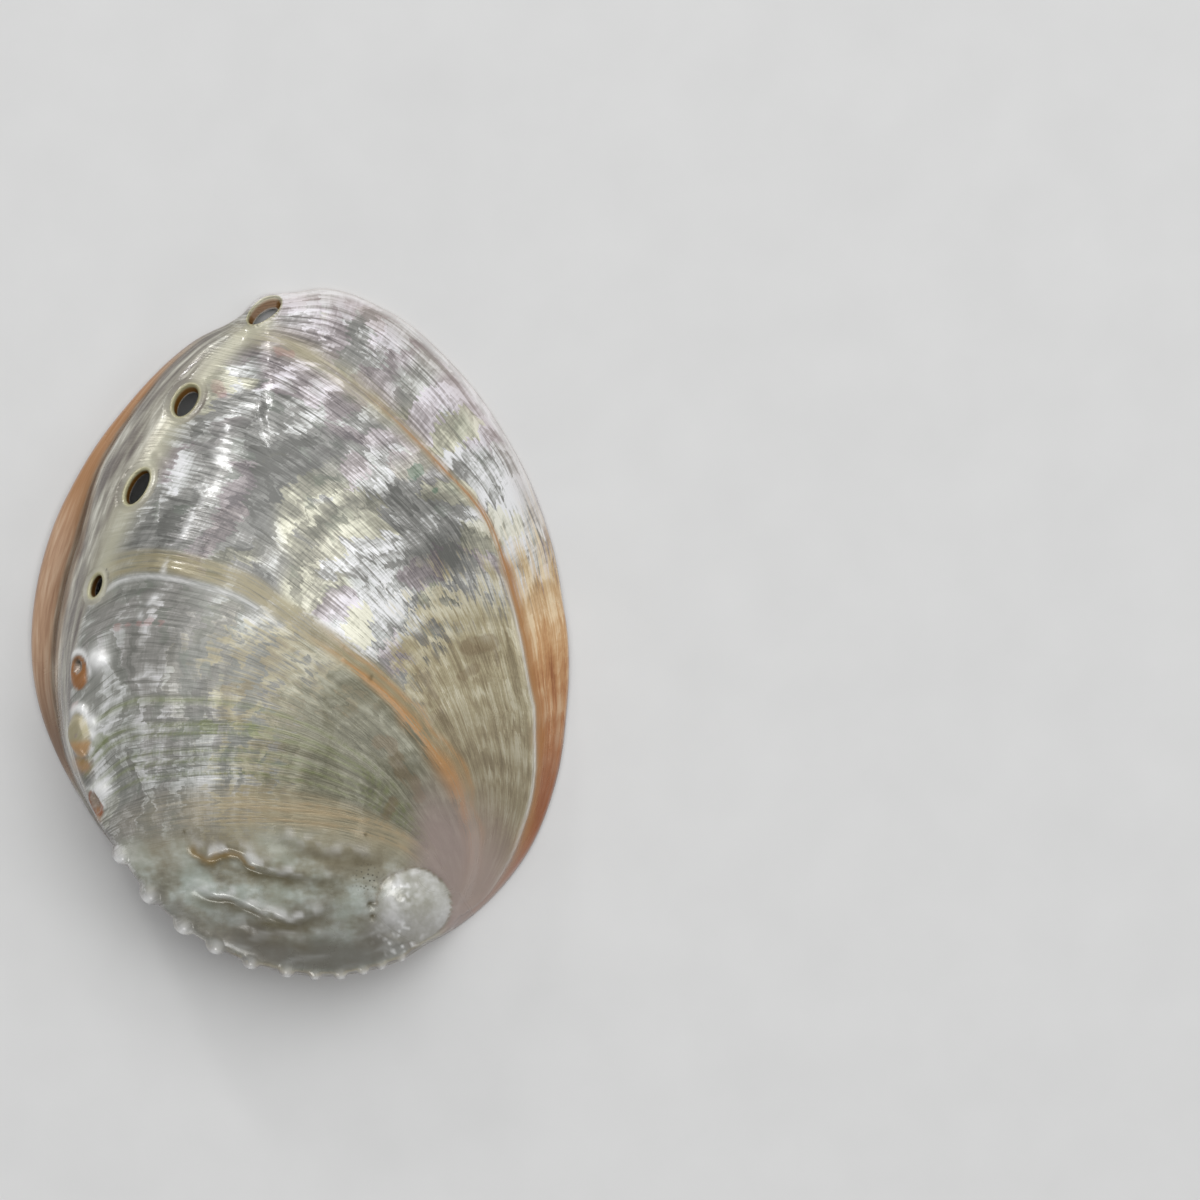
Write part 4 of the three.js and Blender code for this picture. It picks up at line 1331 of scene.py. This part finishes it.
def fold_profile(distance):
    """A gentle rise to the edge of a fold and a sudden drop behind it."""
    rise = FOLD_RISE * np.exp(np.minimum(distance, 0) / FOLD_RISE_LENGTH)
    drop = -FOLD_DROP * np.exp(-np.maximum(distance, 0) / FOLD_DROP_LENGTH)
    return mix(rise, drop, smooth(-FOLD_EDGE_WIDTH, FOLD_EDGE_WIDTH, distance))


def fold_lift(fields):
    """The wavy folds of the oldest part, between the orange line and the beads."""
    x, y = fields.x, fields.y
    lift = 0
    fields.fold_edges = []
    for strength, pixels in FOLDS:
        distance, share = fields.line(pixels)
        strength = strength * span(share, *FOLD_ENDS)
        lift += fold_profile(distance + layers(x, y, FOLD_WAVES)) * strength
        fields.fold_edges.append((strength, distance))
    calm = mix(1, FOOT_WAVES, smooth(*FOOT_START, y))
    waves = layers(x, y, OLD_WAVES) * smooth(*OLD_START, fields.orange) * calm
    return (lift + waves) * smooth(*FOLDS_BESIDE_SPIRE, fields.spire)


def stop_lift(fields):
    """The step and lip of the latest stop, and the ridge of the older one with the dip before it."""
    strong = mix(*STOP_STRENGTH, smooth(*STOP_GROWING, fields.stop_share))
    fading = mix(1, STOP_LEFT_OVER, smooth(*STOP_RECOVERY, fields.stop))
    step = STOP_DROP * smooth(*STOP_STEP, fields.stop) * fading
    place, width = STOP_LIP_PLACE
    lift = strong * (STOP_LIP * bump(fields.stop - place, width) - step)
    for height, place, width in OLDER_RIDGE:
        lift += height * bump(fields.older - place, width)
    return lift


def lumps(fields, rows):
    """Round lumps added up, from rows of pixel, radius and height."""
    return sum(height * bump(fields.near(pixel), radius) for pixel, radius, height in rows)


def outer_lift(fields):
    """Relief of the outside, without beads, sealed holes and the spire boss."""
    x, y, dome = fields.x, fields.y, fields.dome
    ripples = layers(fields.age, fields.share, RIPPLES) + layers(fields.share, fields.age, CORDS)
    ripples *= mix(1, OLD_RIPPLES, smooth(*RIPPLE_END, fields.orange))
    fading = dome * smooth(*RELIEF_BESIDE_SPIRE, fields.spire)
    lift = layers(x, y, SWELLS) + (ripples + stop_lift(fields)) * fading + fold_lift(fields) * dome
    on_wall = fields.walled * span(fields.band, *WALL_WAVE_SPAN)
    lift += on_wall * layers(fields.band, fields.angle, WALL_WAVES)
    place, width = GROOVE_PLACE
    lift -= GROOVE_DEPTH * fields.flanged * bump(fields.band - place, width)
    place, width = SUTURE_PLACE
    lift -= SUTURE_DEPTH * span(fields.spire_angle, *SUTURE_SPAN) * bump(fields.spire - place, width)
    lift += (lumps(fields, GLASSY_BUMPS) - lumps(fields, PITS)) * dome
    lift += lumps(fields, ROUGH_PATCHES) * fields.outside * layers(x, y, ROUGH_WAVES)
    return lift * (1 - smooth(*RIM_CALM, fields.rim))


def inner_lift(fields):
    """The bowl's soft bands and the low ring that the muscle left."""
    x, y = fields.x, fields.y
    lift = layers(x, y, BOWL_SWELLS) + layers(fields.age, fields.share, BOWL_RIPPLES)
    across, up = SCAR_MIDDLE
    scar = np.hypot((x - across) / SCAR_RADII[0], (y - up) / SCAR_RADII[1])
    lift += SCAR_HEIGHT * bump(scar - 1, SCAR_WIDTH) * smooth(*SCAR_START, y + SCAR_TILT * x)
    lift -= BOWL_STOP_DEPTH * bump(fields.stop, BOWL_STOP_WIDTH) * smooth(*STOP_GROWING, fields.stop_share)
    return lift * fields.inside * (1 - smooth(*RIM_CALM, fields.rim))


def shaped_points(surface):
    """The shell's points with all relief, in millimetres, and its fields."""
    points = surface.points[0]
    triangles = np.array(surface.triangles)
    fields = Fields(points, surface.bands[0], surface.rims[0])
    normals = vertex_normals(points, triangles)
    beads, fields.bead, fields.bead_tip = bead_lift(fields)
    sealed, fields.seals = sealed_lift(fields)
    lift = fields.outside * (outer_lift(fields) + beads + sealed) + inner_lift(fields)
    moved = points + normals * lift[:, None]
    fullness = mix(*SPIRE_FULLNESS, fields.spire_left)
    boss = np.clip(1 - fields.spire**2, 0, 1) ** fullness * SPIRE_HEIGHT
    moved[:, 2] += boss * fields.outside * smooth(*BOSS_END, fields.band)
    moved[:, 2] = np.maximum(moved[:, 2], 0)
    return moved, triangles, fields


def settle(points):
    """Fits the shell into the solid's box, and gives the scale and shift that does it."""
    low, high = points.min(axis=0), points.max(axis=0)
    room = np.array(CAD_HIGH) - np.array(CAD_LOW)
    scale = room / (high - low)
    scale[:2] = scale[:2].min()
    middle = (low + high) / 2
    shift = np.array((middle[0], middle[1], low[2]))
    centre = (np.array(CAD_LOW) + np.array(CAD_HIGH)) / 2
    base = np.array((centre[0], centre[1], CAD_LOW[2]))
    return (points - shift) * scale + base, scale[0], shift


def patches(fields, places):
    return sum(bump(fields.near(pixel), radius) for pixel, radius in places)


def growth_lines(age, lines):
    return sum(bump(age - place, width) for place, width in lines)


def factor(fields, entry):
    """One factor of a mask, as an entry of MASKS says."""
    if isinstance(entry, str):
        return getattr(fields, entry)
    name, *values = entry
    value = getattr(fields, name)
    if values[0] == "near":
        return bump(value - values[1], values[2])
    return smooth(*values, value) if len(values) == 2 else span(value, *values)


def product(fields, entries):
    return math.prod(factor(fields, entry) for entry in entries)


def silver_masks(fields, masks):
    """Where the nacre gets painted highlights and shade, where it is tinted, and where it turns to beige."""
    share = fields.share
    warm_edge = np.interp(fields.age, *zip(*WARM_EDGE))
    slope = mix(*WARM_SLOPES, smooth(*WARM_CHANGE, fields.older))
    masks["warm"] = np.clip(0.5 + (share - warm_edge) * slope, 0, 1)
    light = patches(fields, HIGHLIGHT_PATCHES) - SHADE_PATCH_WEIGHT * patches(fields, DARK_AND_SHADE_PATCHES)
    marks = patches(fields, GLINT_MARKS) - patches(fields, SLATE_MARKS)
    band_light = mix(*BAND_LIGHT, smooth(*BAND_LIGHT_EDGE, share)) * masks["outer_band"]
    # The light mask is painted light of the nacre: highlight patches less the shade patches, a painted
    # highlight over the outer band, and the glints less the slate marks
    masks["light"] = light + band_light + MARK_WEIGHT * marks
    masks["cream"] = patches(fields, CREAM_PATCHES)
    masks["lilac"] = patches(fields, LILAC_PATCHES)
    hued = mix(*HUED_SHARES, smooth(*HUED_OLDER, fields.older))
    masks["hued"] = hued * smooth(*HUED_START, share)


def stop_masks(fields, masks):
    """The colours along the two lines where growth once stopped."""
    stop, share = fields.stop, fields.stop_share
    width = mix(*STOP_BAND_WIDTHS, smooth(*STOP_BAND_TOP, share))
    masks["stop_band"] = bump(stop + STOP_BAND_BEFORE, width) * fields.dome
    low = smooth(*STOP_LINE_LOW, share)
    width = mix(*STOP_LINE_WIDTHS, low) * (1 + layers(share, 0 * stop, STOP_WAVES))
    line = bump(stop + mix(*STOP_LINE_BEFORE, low), width)
    masks["stop_line"] = line * smooth(*STOP_LINE_START, share) * fields.dome
    older, share = fields.older, fields.older_share
    uneven = 1 + layers(share, 0 * older, OLDER_WAVES)
    line = bump(older - OLDER_LINE_PLACE, mix(*OLDER_LINE_WIDTHS, smooth(*OLDER_LINE_LOW, share)) * uneven)
    strength, before, width = SECOND_LINE
    lines = line + strength * bump(older + before * uneven, width)
    masks["older_line"] = lines * fields.dome * span(share, *OLDER_LINE_SPAN)


def beside_folds(fields, uneven, place, width):
    """How near each point is to a place behind the edges of the folds."""
    lines = [strength * bump(distance - place + uneven, width) for strength, distance in fields.fold_edges]
    return np.clip(sum(lines), 0, 1)


def fold_masks(fields, masks):
    """The shadows, lights and stain beside the folds."""
    x, y, dome = fields.x, fields.y, fields.dome
    stain, share = fields.line(VALLEY_STAIN)
    stain = bump(stain - STAIN_PLACE + layers(x, y, STAIN_WAVES), mix(*STAIN_WIDTHS, share))
    masks["stain"] = stain * smooth(*STAIN_START, share) * dome
    # Painted shadow behind each fold's edge, where the surface drops away from the light
    masks["fold_shade_and_pits"] = beside_folds(fields, layers(x, y, FOLD_SHADE_WAVES), *FOLD_SHADOW) * dome
    glints = smooth(*FOLD_GLINT_EDGE, layers(x, y, FOLD_GLINTS))
    masks["fold_light"] = beside_folds(fields, 0, *FOLD_LIGHT) * glints * dome
    masks["dots"] = np.clip(patches(fields, DARK_DOTS), 0, 1) * dome


def old_masks(fields, masks):
    """The colours of the older part and of the spire, with painted shade on the foot and the lower boss and
    painted glints beside the boss.
    """
    x, y, age, dome = fields.x, fields.y, fields.age, fields.dome
    masks["green_lines"] = growth_lines(age, GREEN_LINES) * dome * smooth(*GREEN_END, fields.orange)
    orange = growth_lines(age, ORANGE_LINES) * smooth(*ORANGE_START, fields.share)
    masks["orange_lines"] = orange * masks["orange_band"]
    soft = mix(*SPIRE_SOFTNESS, fields.spire_left)
    masks["boss"] = smooth(1 + soft, 1 - soft, fields.spire) * fields.outside
    # Painted shade: the lower part of the boss greyer and darker
    masks["boss_low_shade"] = masks["boss"] * smooth(*BOSS_SHADE_START, y)
    rough = 0
    for pixel, radius, edge, waves in SPIRE_GLINTS:
        rough += bump(fields.near(pixel), radius) * smooth(*edge, layers(x, y, [waves]))
    masks["spire_glints"] = np.clip(rough, 0, 1) * fields.outside
    # Painted shade: the foot darker towards the bottom, where it faces away from the light
    masks["foot"] = masks["pale"] * smooth(*FOOT_SHADE_EDGE, y + layers(x, y, FOOT_SHADE_WAVES))
    reach = np.hypot(x, y)
    slanting = fields.angle / STREAK_TURN[0] + reach / STREAK_TURN[1]
    masks["foot_streaks"] = masks["foot"] * smooth(*STREAK_EDGE, layers(slanting, reach, FOOT_STREAKS))
    masks["even_part"] = 1 - np.clip(masks["pale"] + masks["boss"] + masks["blush"], 0, 1)
    masks["pin_dots"] = bump(fields.near(PIN_DOTS), PIN_DOTS_RADIUS) * dome


def side_masks(fields, masks):
    """The row of holes with its painted shine, the groove under the wall with its painted shade, and the
    holes and beads with their painted sheen, highlights and shade.
    """
    x, y, band, outside = fields.x, fields.y, fields.band, fields.outside
    # A pale band along the row of holes: partly cream, partly painted shine
    row = bump(fields.line(ROW_OF_HOLES)[0], ROW_WIDTH)
    masks["row"] = row * outside * smooth(*ROW_END, band)
    lines = sum(bump(fields.line(line)[0], GLINT_WIDTH) for line in GLINT_LINES)
    broken = smooth(*GLINT_EDGE, layers(x, y, GLINT_BREAKS))
    masks["glint_lines"] = broken * np.clip(lines, 0, 1) * fields.dome
    # Darker brown in the groove: partly its own colour, partly painted shade
    bottom, place, width = GROOVE_BOTTOM
    shade, *edges = GROOVE_SHADE
    groove = bottom * bump(band - place, width) + shade * span(band, *edges)
    masks["groove"] = fields.flanged * groove
    masks["collar"] = np.clip(fields.rim, 0, 1)
    masks["bead"] = fields.bead
    masks["bead_tip"] = fields.bead_tip
    masks["bead_stain"] = bump(fields.near(BEAD_STAIN), BEAD_STAIN_RADIUS) * outside
    # Painted shade: a dark spot where the pin hole goes into the seal
    masks["pin_hole_shade"] = bump(fields.near(PIN_HOLE), PIN_HOLE_SHADE_RADIUS) * outside
    masks["coarse"] = 1 - np.clip(masks["bead"] + masks["flange"] + masks["swell_and_highlight"] + masks["ring"], 0, 1)


def colour_masks(fields):
    """Named shares that say where each colour of the shell lies."""
    masks = {name: product(fields, entries) for name, entries in MASKS.items()}
    for name, marks in MARKS.items():
        masks[name] = np.clip(patches(fields, marks), 0, 1) * fields.outside
    masks.update(fields.seals)
    for add_masks in (silver_masks, stop_masks, fold_masks, old_masks, side_masks):
        add_masks(fields, masks)
    return masks


def placed(name, data):
    """A new object with this data, in the scene."""
    added = bpy.data.objects.new(name, data)
    bpy.context.scene.collection.objects.link(added)
    return added


def shell_object():
    """The whole shell as one mesh, with its masks as attributes, and how it was fitted into its box."""
    surface = base_surface()
    for hole in OPEN_HOLES:
        open_hole(surface, hole)
    points, triangles, fields = shaped_points(surface)
    settled, scale, shift = settle(points * MM)
    mesh = bpy.data.meshes.new("abalone_shell")
    mesh.from_pydata(settled.tolist(), [], triangles.tolist())
    mesh.polygons.foreach_set("use_smooth", np.ones(len(triangles), bool))
    values = colour_masks(fields)
    values["age"] = fields.age
    values["cord"] = fields.share * CORD_COUNT
    values["wall_down"] = fields.band
    values["wall_along"] = fields.angle
    for name, numbers in values.items():
        attribute = mesh.attributes.new(name, "FLOAT", "POINT")
        attribute.data.foreach_set("value", numbers.astype(np.float32))
    mesh.update()
    return placed("abalone_shell", mesh), scale, shift


def srgb(red, green, blue):
    """Scene colour of 0 to 255 screen values."""
    parts = []
    for value in (red, green, blue):
        share = value / 255
        parts.append(share / 12.92 if share <= 0.04045 else ((share + 0.055) / 1.055) ** 2.4)
    return (*parts, 1)


def tint(name):
    return srgb(*TINTS[name])


class Graph:
    """Short calls for the nodes that a material repeats."""

    def __init__(self, name):
        self.material = bpy.data.materials.new(name)
        self.material.use_nodes = True
        self.tree = self.material.node_tree
        self.tree.nodes.clear()

    def put(self, socket, value):
        if isinstance(value, bpy.types.NodeSocket):
            self.tree.links.new(value, socket)
        else:
            socket.default_value = value

    def node(self, kind, inputs=(), **settings):
        """A new node with these settings, and these values or links on its inputs."""
        node = self.tree.nodes.new("ShaderNode" + kind)
        for name, value in settings.items():
            setattr(node, name, value)
        for name, value in dict(inputs).items():
            self.put(node.inputs[name], value)
        return node

    def attribute(self, name):
        return self.node("Attribute", attribute_name=name).outputs["Fac"]

    def place(self):
        return self.node("TexCoord").outputs["Object"]

    def math(self, operation, *values):
        return self.node("Math", enumerate(values), operation=operation).outputs[0]

    def scaled(self, value, factor, offset=0.0):
        return self.math("MULTIPLY_ADD", value, factor, offset)

    def chain(self, operation, values):
        result = values[0]
        for value in values[1:]:
            result = self.math(operation, result, value)
        return result

    def total(self, *values):
        return self.chain("ADD", values)

    def times(self, *values):
        return self.chain("MULTIPLY", values)

    def between(self, value, low, high, out_low=0.0, out_high=1.0):
        inputs = {"Value": value, "From Min": low, "From Max": high, "To Min": out_low, "To Max": out_high}
        return self.node("MapRange", inputs, interpolation_type="SMOOTHSTEP").outputs[0]

    def vector(self, x, y):
        return self.node("CombineXYZ", enumerate((x, y))).outputs[0]

    def noise(self, vector, scale=1.0, detail=2.0, roughness=0.5):
        inputs = {"Vector": vector, "Scale": scale, "Detail": detail, "Roughness": roughness}
        return self.node("TexNoise", inputs, noise_dimensions="2D").outputs["Fac"]

    def random(self, value):
        return self.node("TexWhiteNoise", {"W": value}, noise_dimensions="1D").outputs["Value"]

    def cells(self, vector):
        """Three random numbers, the same all over each roughly square cell."""
        inputs = {"Vector": vector, "Scale": 1, "Randomness": BLOCK_RANDOMNESS}
        cells = self.node("TexVoronoi", inputs, voronoi_dimensions="2D", distance="CHEBYCHEV")
        return list(self.node("SeparateColor", {0: cells.outputs["Color"]}).outputs)

    def ramp(self, value, table):
        node = self.node("ValToRGB", {0: value})
        elements = node.color_ramp.elements
        while len(elements) < len(table):
            elements.new(0.5)
        for element, (place, colour) in zip(elements, table):
            element.position = place
            element.color = srgb(*colour)
        return node.outputs[0]

    def mix(self, factor, a, b):
        inputs = {"Factor": factor, "A": a, "B": b}
        return self.node("Mix", inputs, data_type="RGBA").outputs["Result"]

    def surface(self, colour, gloss):
        """The surface shader with this colour, and with the gloss on its own sockets."""
        shader = self.node("BsdfPrincipled", {"Base Color": colour, **gloss})
        self.node("OutputMaterial", {0: shader.outputs[0]})
        return shader


def swings(graph, pairs):
    """Each pattern's weighted swing around its middle."""
    return [graph.scaled(value, weight, -weight / 2) for value, weight in pairs]


def weighted(graph, pairs):
    """0.5 plus the weighted swings of several patterns around their middle."""
    return graph.total(0.5, *swings(graph, pairs))


def picked(pattern, weights):
    return [(pattern[name], weight) for name, weight in weights.items()]


def ragged_edge(graph, pattern, weights):
    return graph.total(*swings(graph, picked(pattern, weights)))


def grown_noise(graph, age, across, row):
    """Noise that is drawn out along the growth lines or across them, as a row of a table says."""
    age_scale, age_start, cross_scale, cross_start, detail, roughness = row
    along = graph.scaled(age, age_scale, age_start)
    place = graph.vector(along, graph.scaled(across, cross_scale, cross_start))
    return graph.noise(place, detail=detail, roughness=roughness)


def block_cells(graph, age, across, row):
    scale, start, cross_scale = row
    return graph.cells(graph.vector(graph.scaled(age, scale, start), graph.scaled(across, cross_scale)))


def growth_pattern(graph):
    """Blocks and fine lines along the growth lines, broken up by the cords that cross them."""
    age = graph.attribute("age")
    cord = graph.attribute("cord")
    slow = grown_noise(graph, age, cord, SLOW_WAVE)
    wave = grown_noise(graph, age, cord, RAGGED_WAVE)
    strips = graph.total(graph.scaled(age, STRIP_COUNT), graph.scaled(slow, STRIP_BEND))
    strip = graph.random(graph.math("FLOOR", strips))
    ragged = graph.total(cord, *swings(graph, [(strip, STRIP_SHIFT), (wave, WAVE_SHIFT)]))
    bent = graph.total(age, graph.scaled(slow, LINE_BEND))
    pattern = {}
    for across, rows in ((cord, EVEN_PATTERNS), (ragged, RAGGED_PATTERNS)):
        for name, row in rows.items():
            pattern[name] = grown_noise(graph, age, across, row)
    pattern["block"], pattern["hue"], pattern["hue_too"] = block_cells(graph, bent, ragged, BLOCKS)
    pattern["small"], pattern["small_hue"], _ = block_cells(graph, bent, ragged, SMALL_BLOCKS)
    return pattern


def silver_nacre(graph, pattern):
    """Blocks of silver, cream and lilac nacre, each with painted highlight and shade as its own layers would
    catch the light.
    """
    light = weighted(graph, picked(pattern, SILVER_WEIGHTS))
    calm = graph.scaled(graph.attribute("old"), -CALM_WHEN_OLD, 1)
    light = graph.total(0.5, graph.times(graph.scaled(light, 1, -0.5), calm))
    light = graph.total(light, graph.scaled(graph.attribute("light"), PATCH_LIGHT))
    light = graph.math("SUBTRACT", light, graph.between(pattern["lines"], *DARK_LINES))
    colour = graph.ramp(light, SILVER)
    for hue, name, stops in (("hue", "cream", CREAM), ("hue_too", "lilac", LILAC)):
        share = graph.total(pattern[hue], graph.scaled(graph.attribute(name), HUE_PATCH))
        amount = graph.times(graph.between(share, *HUE_EDGE), graph.attribute("hued"))
        colour = graph.mix(amount, colour, graph.ramp(light, stops))
    green = graph.between(pattern["small_hue"], *GREEN_EDGE)
    return graph.mix(graph.scaled(green, GREEN_STRENGTH), colour, tint("green"))


def plaid(graph, pattern, stops, weights=PLAID_WEIGHTS):
    """Soft bands both ways, with fine streaks along the growth lines, lightened and darkened by the painted
    highlights and shade of the light mask.
    """
    light = weighted(graph, picked(pattern, {**PLAID_WEIGHTS, **weights}))
    light = graph.total(light, graph.scaled(graph.attribute("light"), PLAID_PATCH_LIGHT))
    return graph.ramp(light, stops)


def cloudy(graph, stops, scale, stretch):
    """Soft pearly clouds, drawn out across the shell by the stretch."""
    place = graph.place()
    x, y, _ = graph.node("SeparateXYZ", {0: place}).outputs
    clouds = graph.noise(place, scale=scale, detail=3)
    drawn = graph.vector(graph.scaled(x, scale), graph.scaled(y, scale * stretch))
    streaks = graph.noise(drawn, **CLOUD_STREAKS)
    flecks = graph.noise(place, scale=scale * FLECKS_TO_CLOUD)
    light = weighted(graph, zip((clouds, streaks, flecks), CLOUD_WEIGHTS))
    return graph.ramp(light, stops), clouds


def washed(graph, colour, tints, amount=1.0):
    """Tints laid over a colour where their masks say."""
    for name, strength, colour_name in tints:
        share = graph.math("MINIMUM", graph.times(graph.attribute(name), amount, strength), 1.0)
        colour = graph.mix(share, colour, tint(colour_name))
    return colour


def marked(graph, colour, pattern, tints):
    """Small marks whose edges end raggedly at the cells and streaks of the nacre."""
    ragged = ragged_edge(graph, pattern, MARK_EDGE)
    for name, strength, colour_name in tints:
        share = graph.between(graph.total(graph.attribute(name), ragged), *MARKED_EDGE, 0.0, strength)
        colour = graph.mix(share, colour, tint(colour_name))
    return colour


def torn(graph, mask, ragged):
    """A mask with its soft edge torn along the cells and streaks."""
    edge = graph.times(mask, graph.scaled(mask, -1, 1), ragged, TEARING)
    return graph.between(graph.total(mask, edge), *TORN_EDGE)


def outer_band_colour(graph, pattern):
    """The rusty band outside the latest stop, more golden towards the row of holes."""
    rust = plaid(graph, pattern, RUST, RUST_WEIGHTS)
    gold = plaid(graph, pattern, GOLD, GOLD_WEIGHTS)
    return graph.mix(graph.times(graph.attribute("rust_top"), GOLD_STRENGTH), rust, gold)


def dome_colour(graph, pattern):
    """The nacre of the dome, from silver through beige to olive, with its bands, lines and marks."""
    mask = graph.attribute
    ragged = ragged_edge(graph, pattern, RAGGED_EDGE)
    warm = graph.times(torn(graph, mask("warm"), ragged), graph.scaled(mask("outer_band"), -1, 1))
    beige = plaid(graph, pattern, BEIGE, BEIGE_WEIGHTS)
    colour = graph.mix(warm, silver_nacre(graph, pattern), beige)
    olive = torn(graph, mask("olive_field"), ragged)
    colour = graph.mix(olive, colour, plaid(graph, pattern, OLIVE))
    colour = washed(graph, colour, AGE_TINTS)
    even = torn(graph, mask("warm"), ragged_edge(graph, pattern, EVEN_EDGE))
    colour = graph.mix(graph.times(mask("outer_band"), even), colour, outer_band_colour(graph, pattern))
    colour = washed(graph, colour, BAND_TINTS)
    broken = graph.total(pattern["streaks"], graph.scaled(pattern["wide"], 0.5))
    broken = graph.between(broken, *BROKEN_EDGE)
    colour = washed(graph, colour, STOP_TINTS, broken)
    streaky = graph.between(graph.total(broken, graph.scaled(pattern["small"], 0.5)), *STREAKY_EDGE)
    colour = washed(graph, colour, LINE_TINTS, streaky)
    colour = marked(graph, colour, pattern, MARK_TINTS)
    return old_colour(graph, colour, broken)


def old_colour(graph, colour, broken):
    """The folds with their painted light and shade, the blush and the spire over the rest of the dome, and
    painted highlights along the stops' edges.
    """
    mask = graph.attribute
    clouded, clouds = cloudy(graph, POSTERIOR, *OLD_CLOUDS)
    clouded = graph.mix(graph.between(clouds, *MILK_EDGE), clouded, tint("milk"))
    colour = graph.mix(graph.scaled(mask("pale"), PALE_STRENGTH), colour, clouded)
    colour = washed(graph, colour, FOLD_TINTS)
    pearl, _ = cloudy(graph, PEARL, *SPIRE_CLOUDS)
    colour = graph.mix(graph.scaled(mask("boss"), BOSS_STRENGTH), colour, pearl)
    colour = washed(graph, colour, SPIRE_TINTS)
    colour = washed(graph, colour, EDGE_HIGHLIGHTS, broken)
    inputs = {"Scale": PIN_DOTS_PER_METRE, "Vector": graph.place()}
    dots = graph.node("TexVoronoi", inputs, voronoi_dimensions="2D").outputs["Distance"]
    dark = graph.times(graph.between(dots, *PIN_DOT_EDGE), mask("pin_dots"), PIN_DOT_STRENGTH)
    return graph.mix(dark, colour, tint("dark"))


def side_colour(graph, dome):
    """The wall under the row of holes with the painted shine along the row, its groove with painted shade,
    and its flange, over the dome's colour.
    """
    mask = graph.attribute
    down = mask("wall_down")
    along = mask("wall_along")
    streaks = []
    for down_scale, along_scale, detail in (WALL_STREAKS, LONG_STREAKS):
        place = graph.vector(graph.scaled(down, down_scale), graph.scaled(along, along_scale))
        streaks.append(graph.noise(place, detail=detail))
    wall = graph.ramp(weighted(graph, zip(streaks, WALL_WEIGHTS)), WALL)
    flange = graph.ramp(weighted(graph, zip(streaks, FLANGE_WEIGHTS)), FLANGE)
    colour = graph.mix(mask("wall"), dome, wall)
    # The pale band along the row of holes: partly cream, partly painted shine
    colour = graph.mix(graph.scaled(mask("row"), ROW_SHINE_STRENGTH), colour, tint("row"))
    colour = graph.mix(mask("flange"), colour, flange)
    return washed(graph, colour, WALL_TINTS)


def nacre_material():
    graph = Graph("polished_nacre")
    pattern = growth_pattern(graph)
    colour = side_colour(graph, dome_colour(graph, pattern))
    colour = washed(graph, colour, HOLE_TINTS)
    colour = graph.mix(graph.attribute("lining"), colour, plaid(graph, pattern, LINING))
    colour = graph.mix(graph.attribute("shelf"), colour, tint("shelf"))
    shader = graph.surface(colour, NACRE_GLOSS)
    graph.put(shader.inputs["Roughness"], graph.scaled(pattern["block"], BLOCK_POLISH, NACRE_ROUGHNESS))
    height = graph.times(pattern["streaks"], graph.attribute("coarse"), graph.attribute("even_part"))
    streaked = graph.node("Bump", {**NACRE_BUMP, "Height": height})
    graph.put(shader.inputs["Normal"], streaked.outputs[0])
    return graph.material


def pale_floor():
    """The plain floor that the shell lies on."""
    graph = Graph("pale_floor")
    grain = graph.noise(graph.place(), scale=FLOOR_GRAIN, detail=3)
    graph.surface(graph.mix(grain, *FLOOR_COLOURS), FLOOR_GLOSS)
    mesh = bpy.data.meshes.new("floor")
    half = FLOOR_SIZE / 2
    corners = [(-half, -half, 0), (half, -half, 0), (half, half, 0), (-half, half, 0)]
    mesh.from_pydata(corners, [], [(0, 1, 2, 3)])
    mesh.materials.append(graph.material)
    floor = placed("floor", mesh)


def softbox(name, place, size, power):
    light = bpy.data.lights.new(name, "AREA")
    light.shape = "RECTANGLE"
    light.size = size
    light.size_y = size
    light.energy = power
    lamp = placed(name, light)
    lamp.location = place
    aim = Vector(LIGHT_TARGET) - Vector(place)
    lamp.rotation_euler = aim.to_track_quat("-Z", "Y").to_euler()
    lamp.visible_camera = False


def studio_light():
    world = bpy.data.worlds.new("studio")
    world.use_nodes = True
    background = world.node_tree.nodes["Background"]
    background.inputs["Color"].default_value = WORLD_COLOUR
    background.inputs["Strength"].default_value = WORLD_STRENGTH
    bpy.context.scene.world = world
    for name, row in LIGHTS.items():
        softbox(name, *row)


def photo_camera(scale, shift):
    """A camera straight above the middle of the photograph, with a long lens."""
    camera = bpy.data.cameras.new("camera")
    frame_width = PHOTO_SIZE * PIXEL_SIZE * MM * scale
    camera.sensor_width = CAMERA_SENSOR
    camera.lens = camera.sensor_width * CAMERA_DISTANCE / frame_width
    camera.clip_end = CAMERA_REACH
    eye = placed("camera", camera)
    across, up = photo_place((PHOTO_SIZE / 2, PHOTO_SIZE / 2)) * MM
    middle = (np.array((across, up, 0)) - shift) * scale
    eye.location = (middle[0], middle[1], FOCUS_HEIGHT + CAMERA_DISTANCE)
    bpy.context.scene.camera = eye


shell, scale, shift = shell_object()
shell.data.materials.append(nacre_material())
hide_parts("shell")
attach(shell, "root")
pale_floor()
studio_light()
photo_camera(scale, shift)
bpy.context.scene.view_settings.view_transform = "Standard"
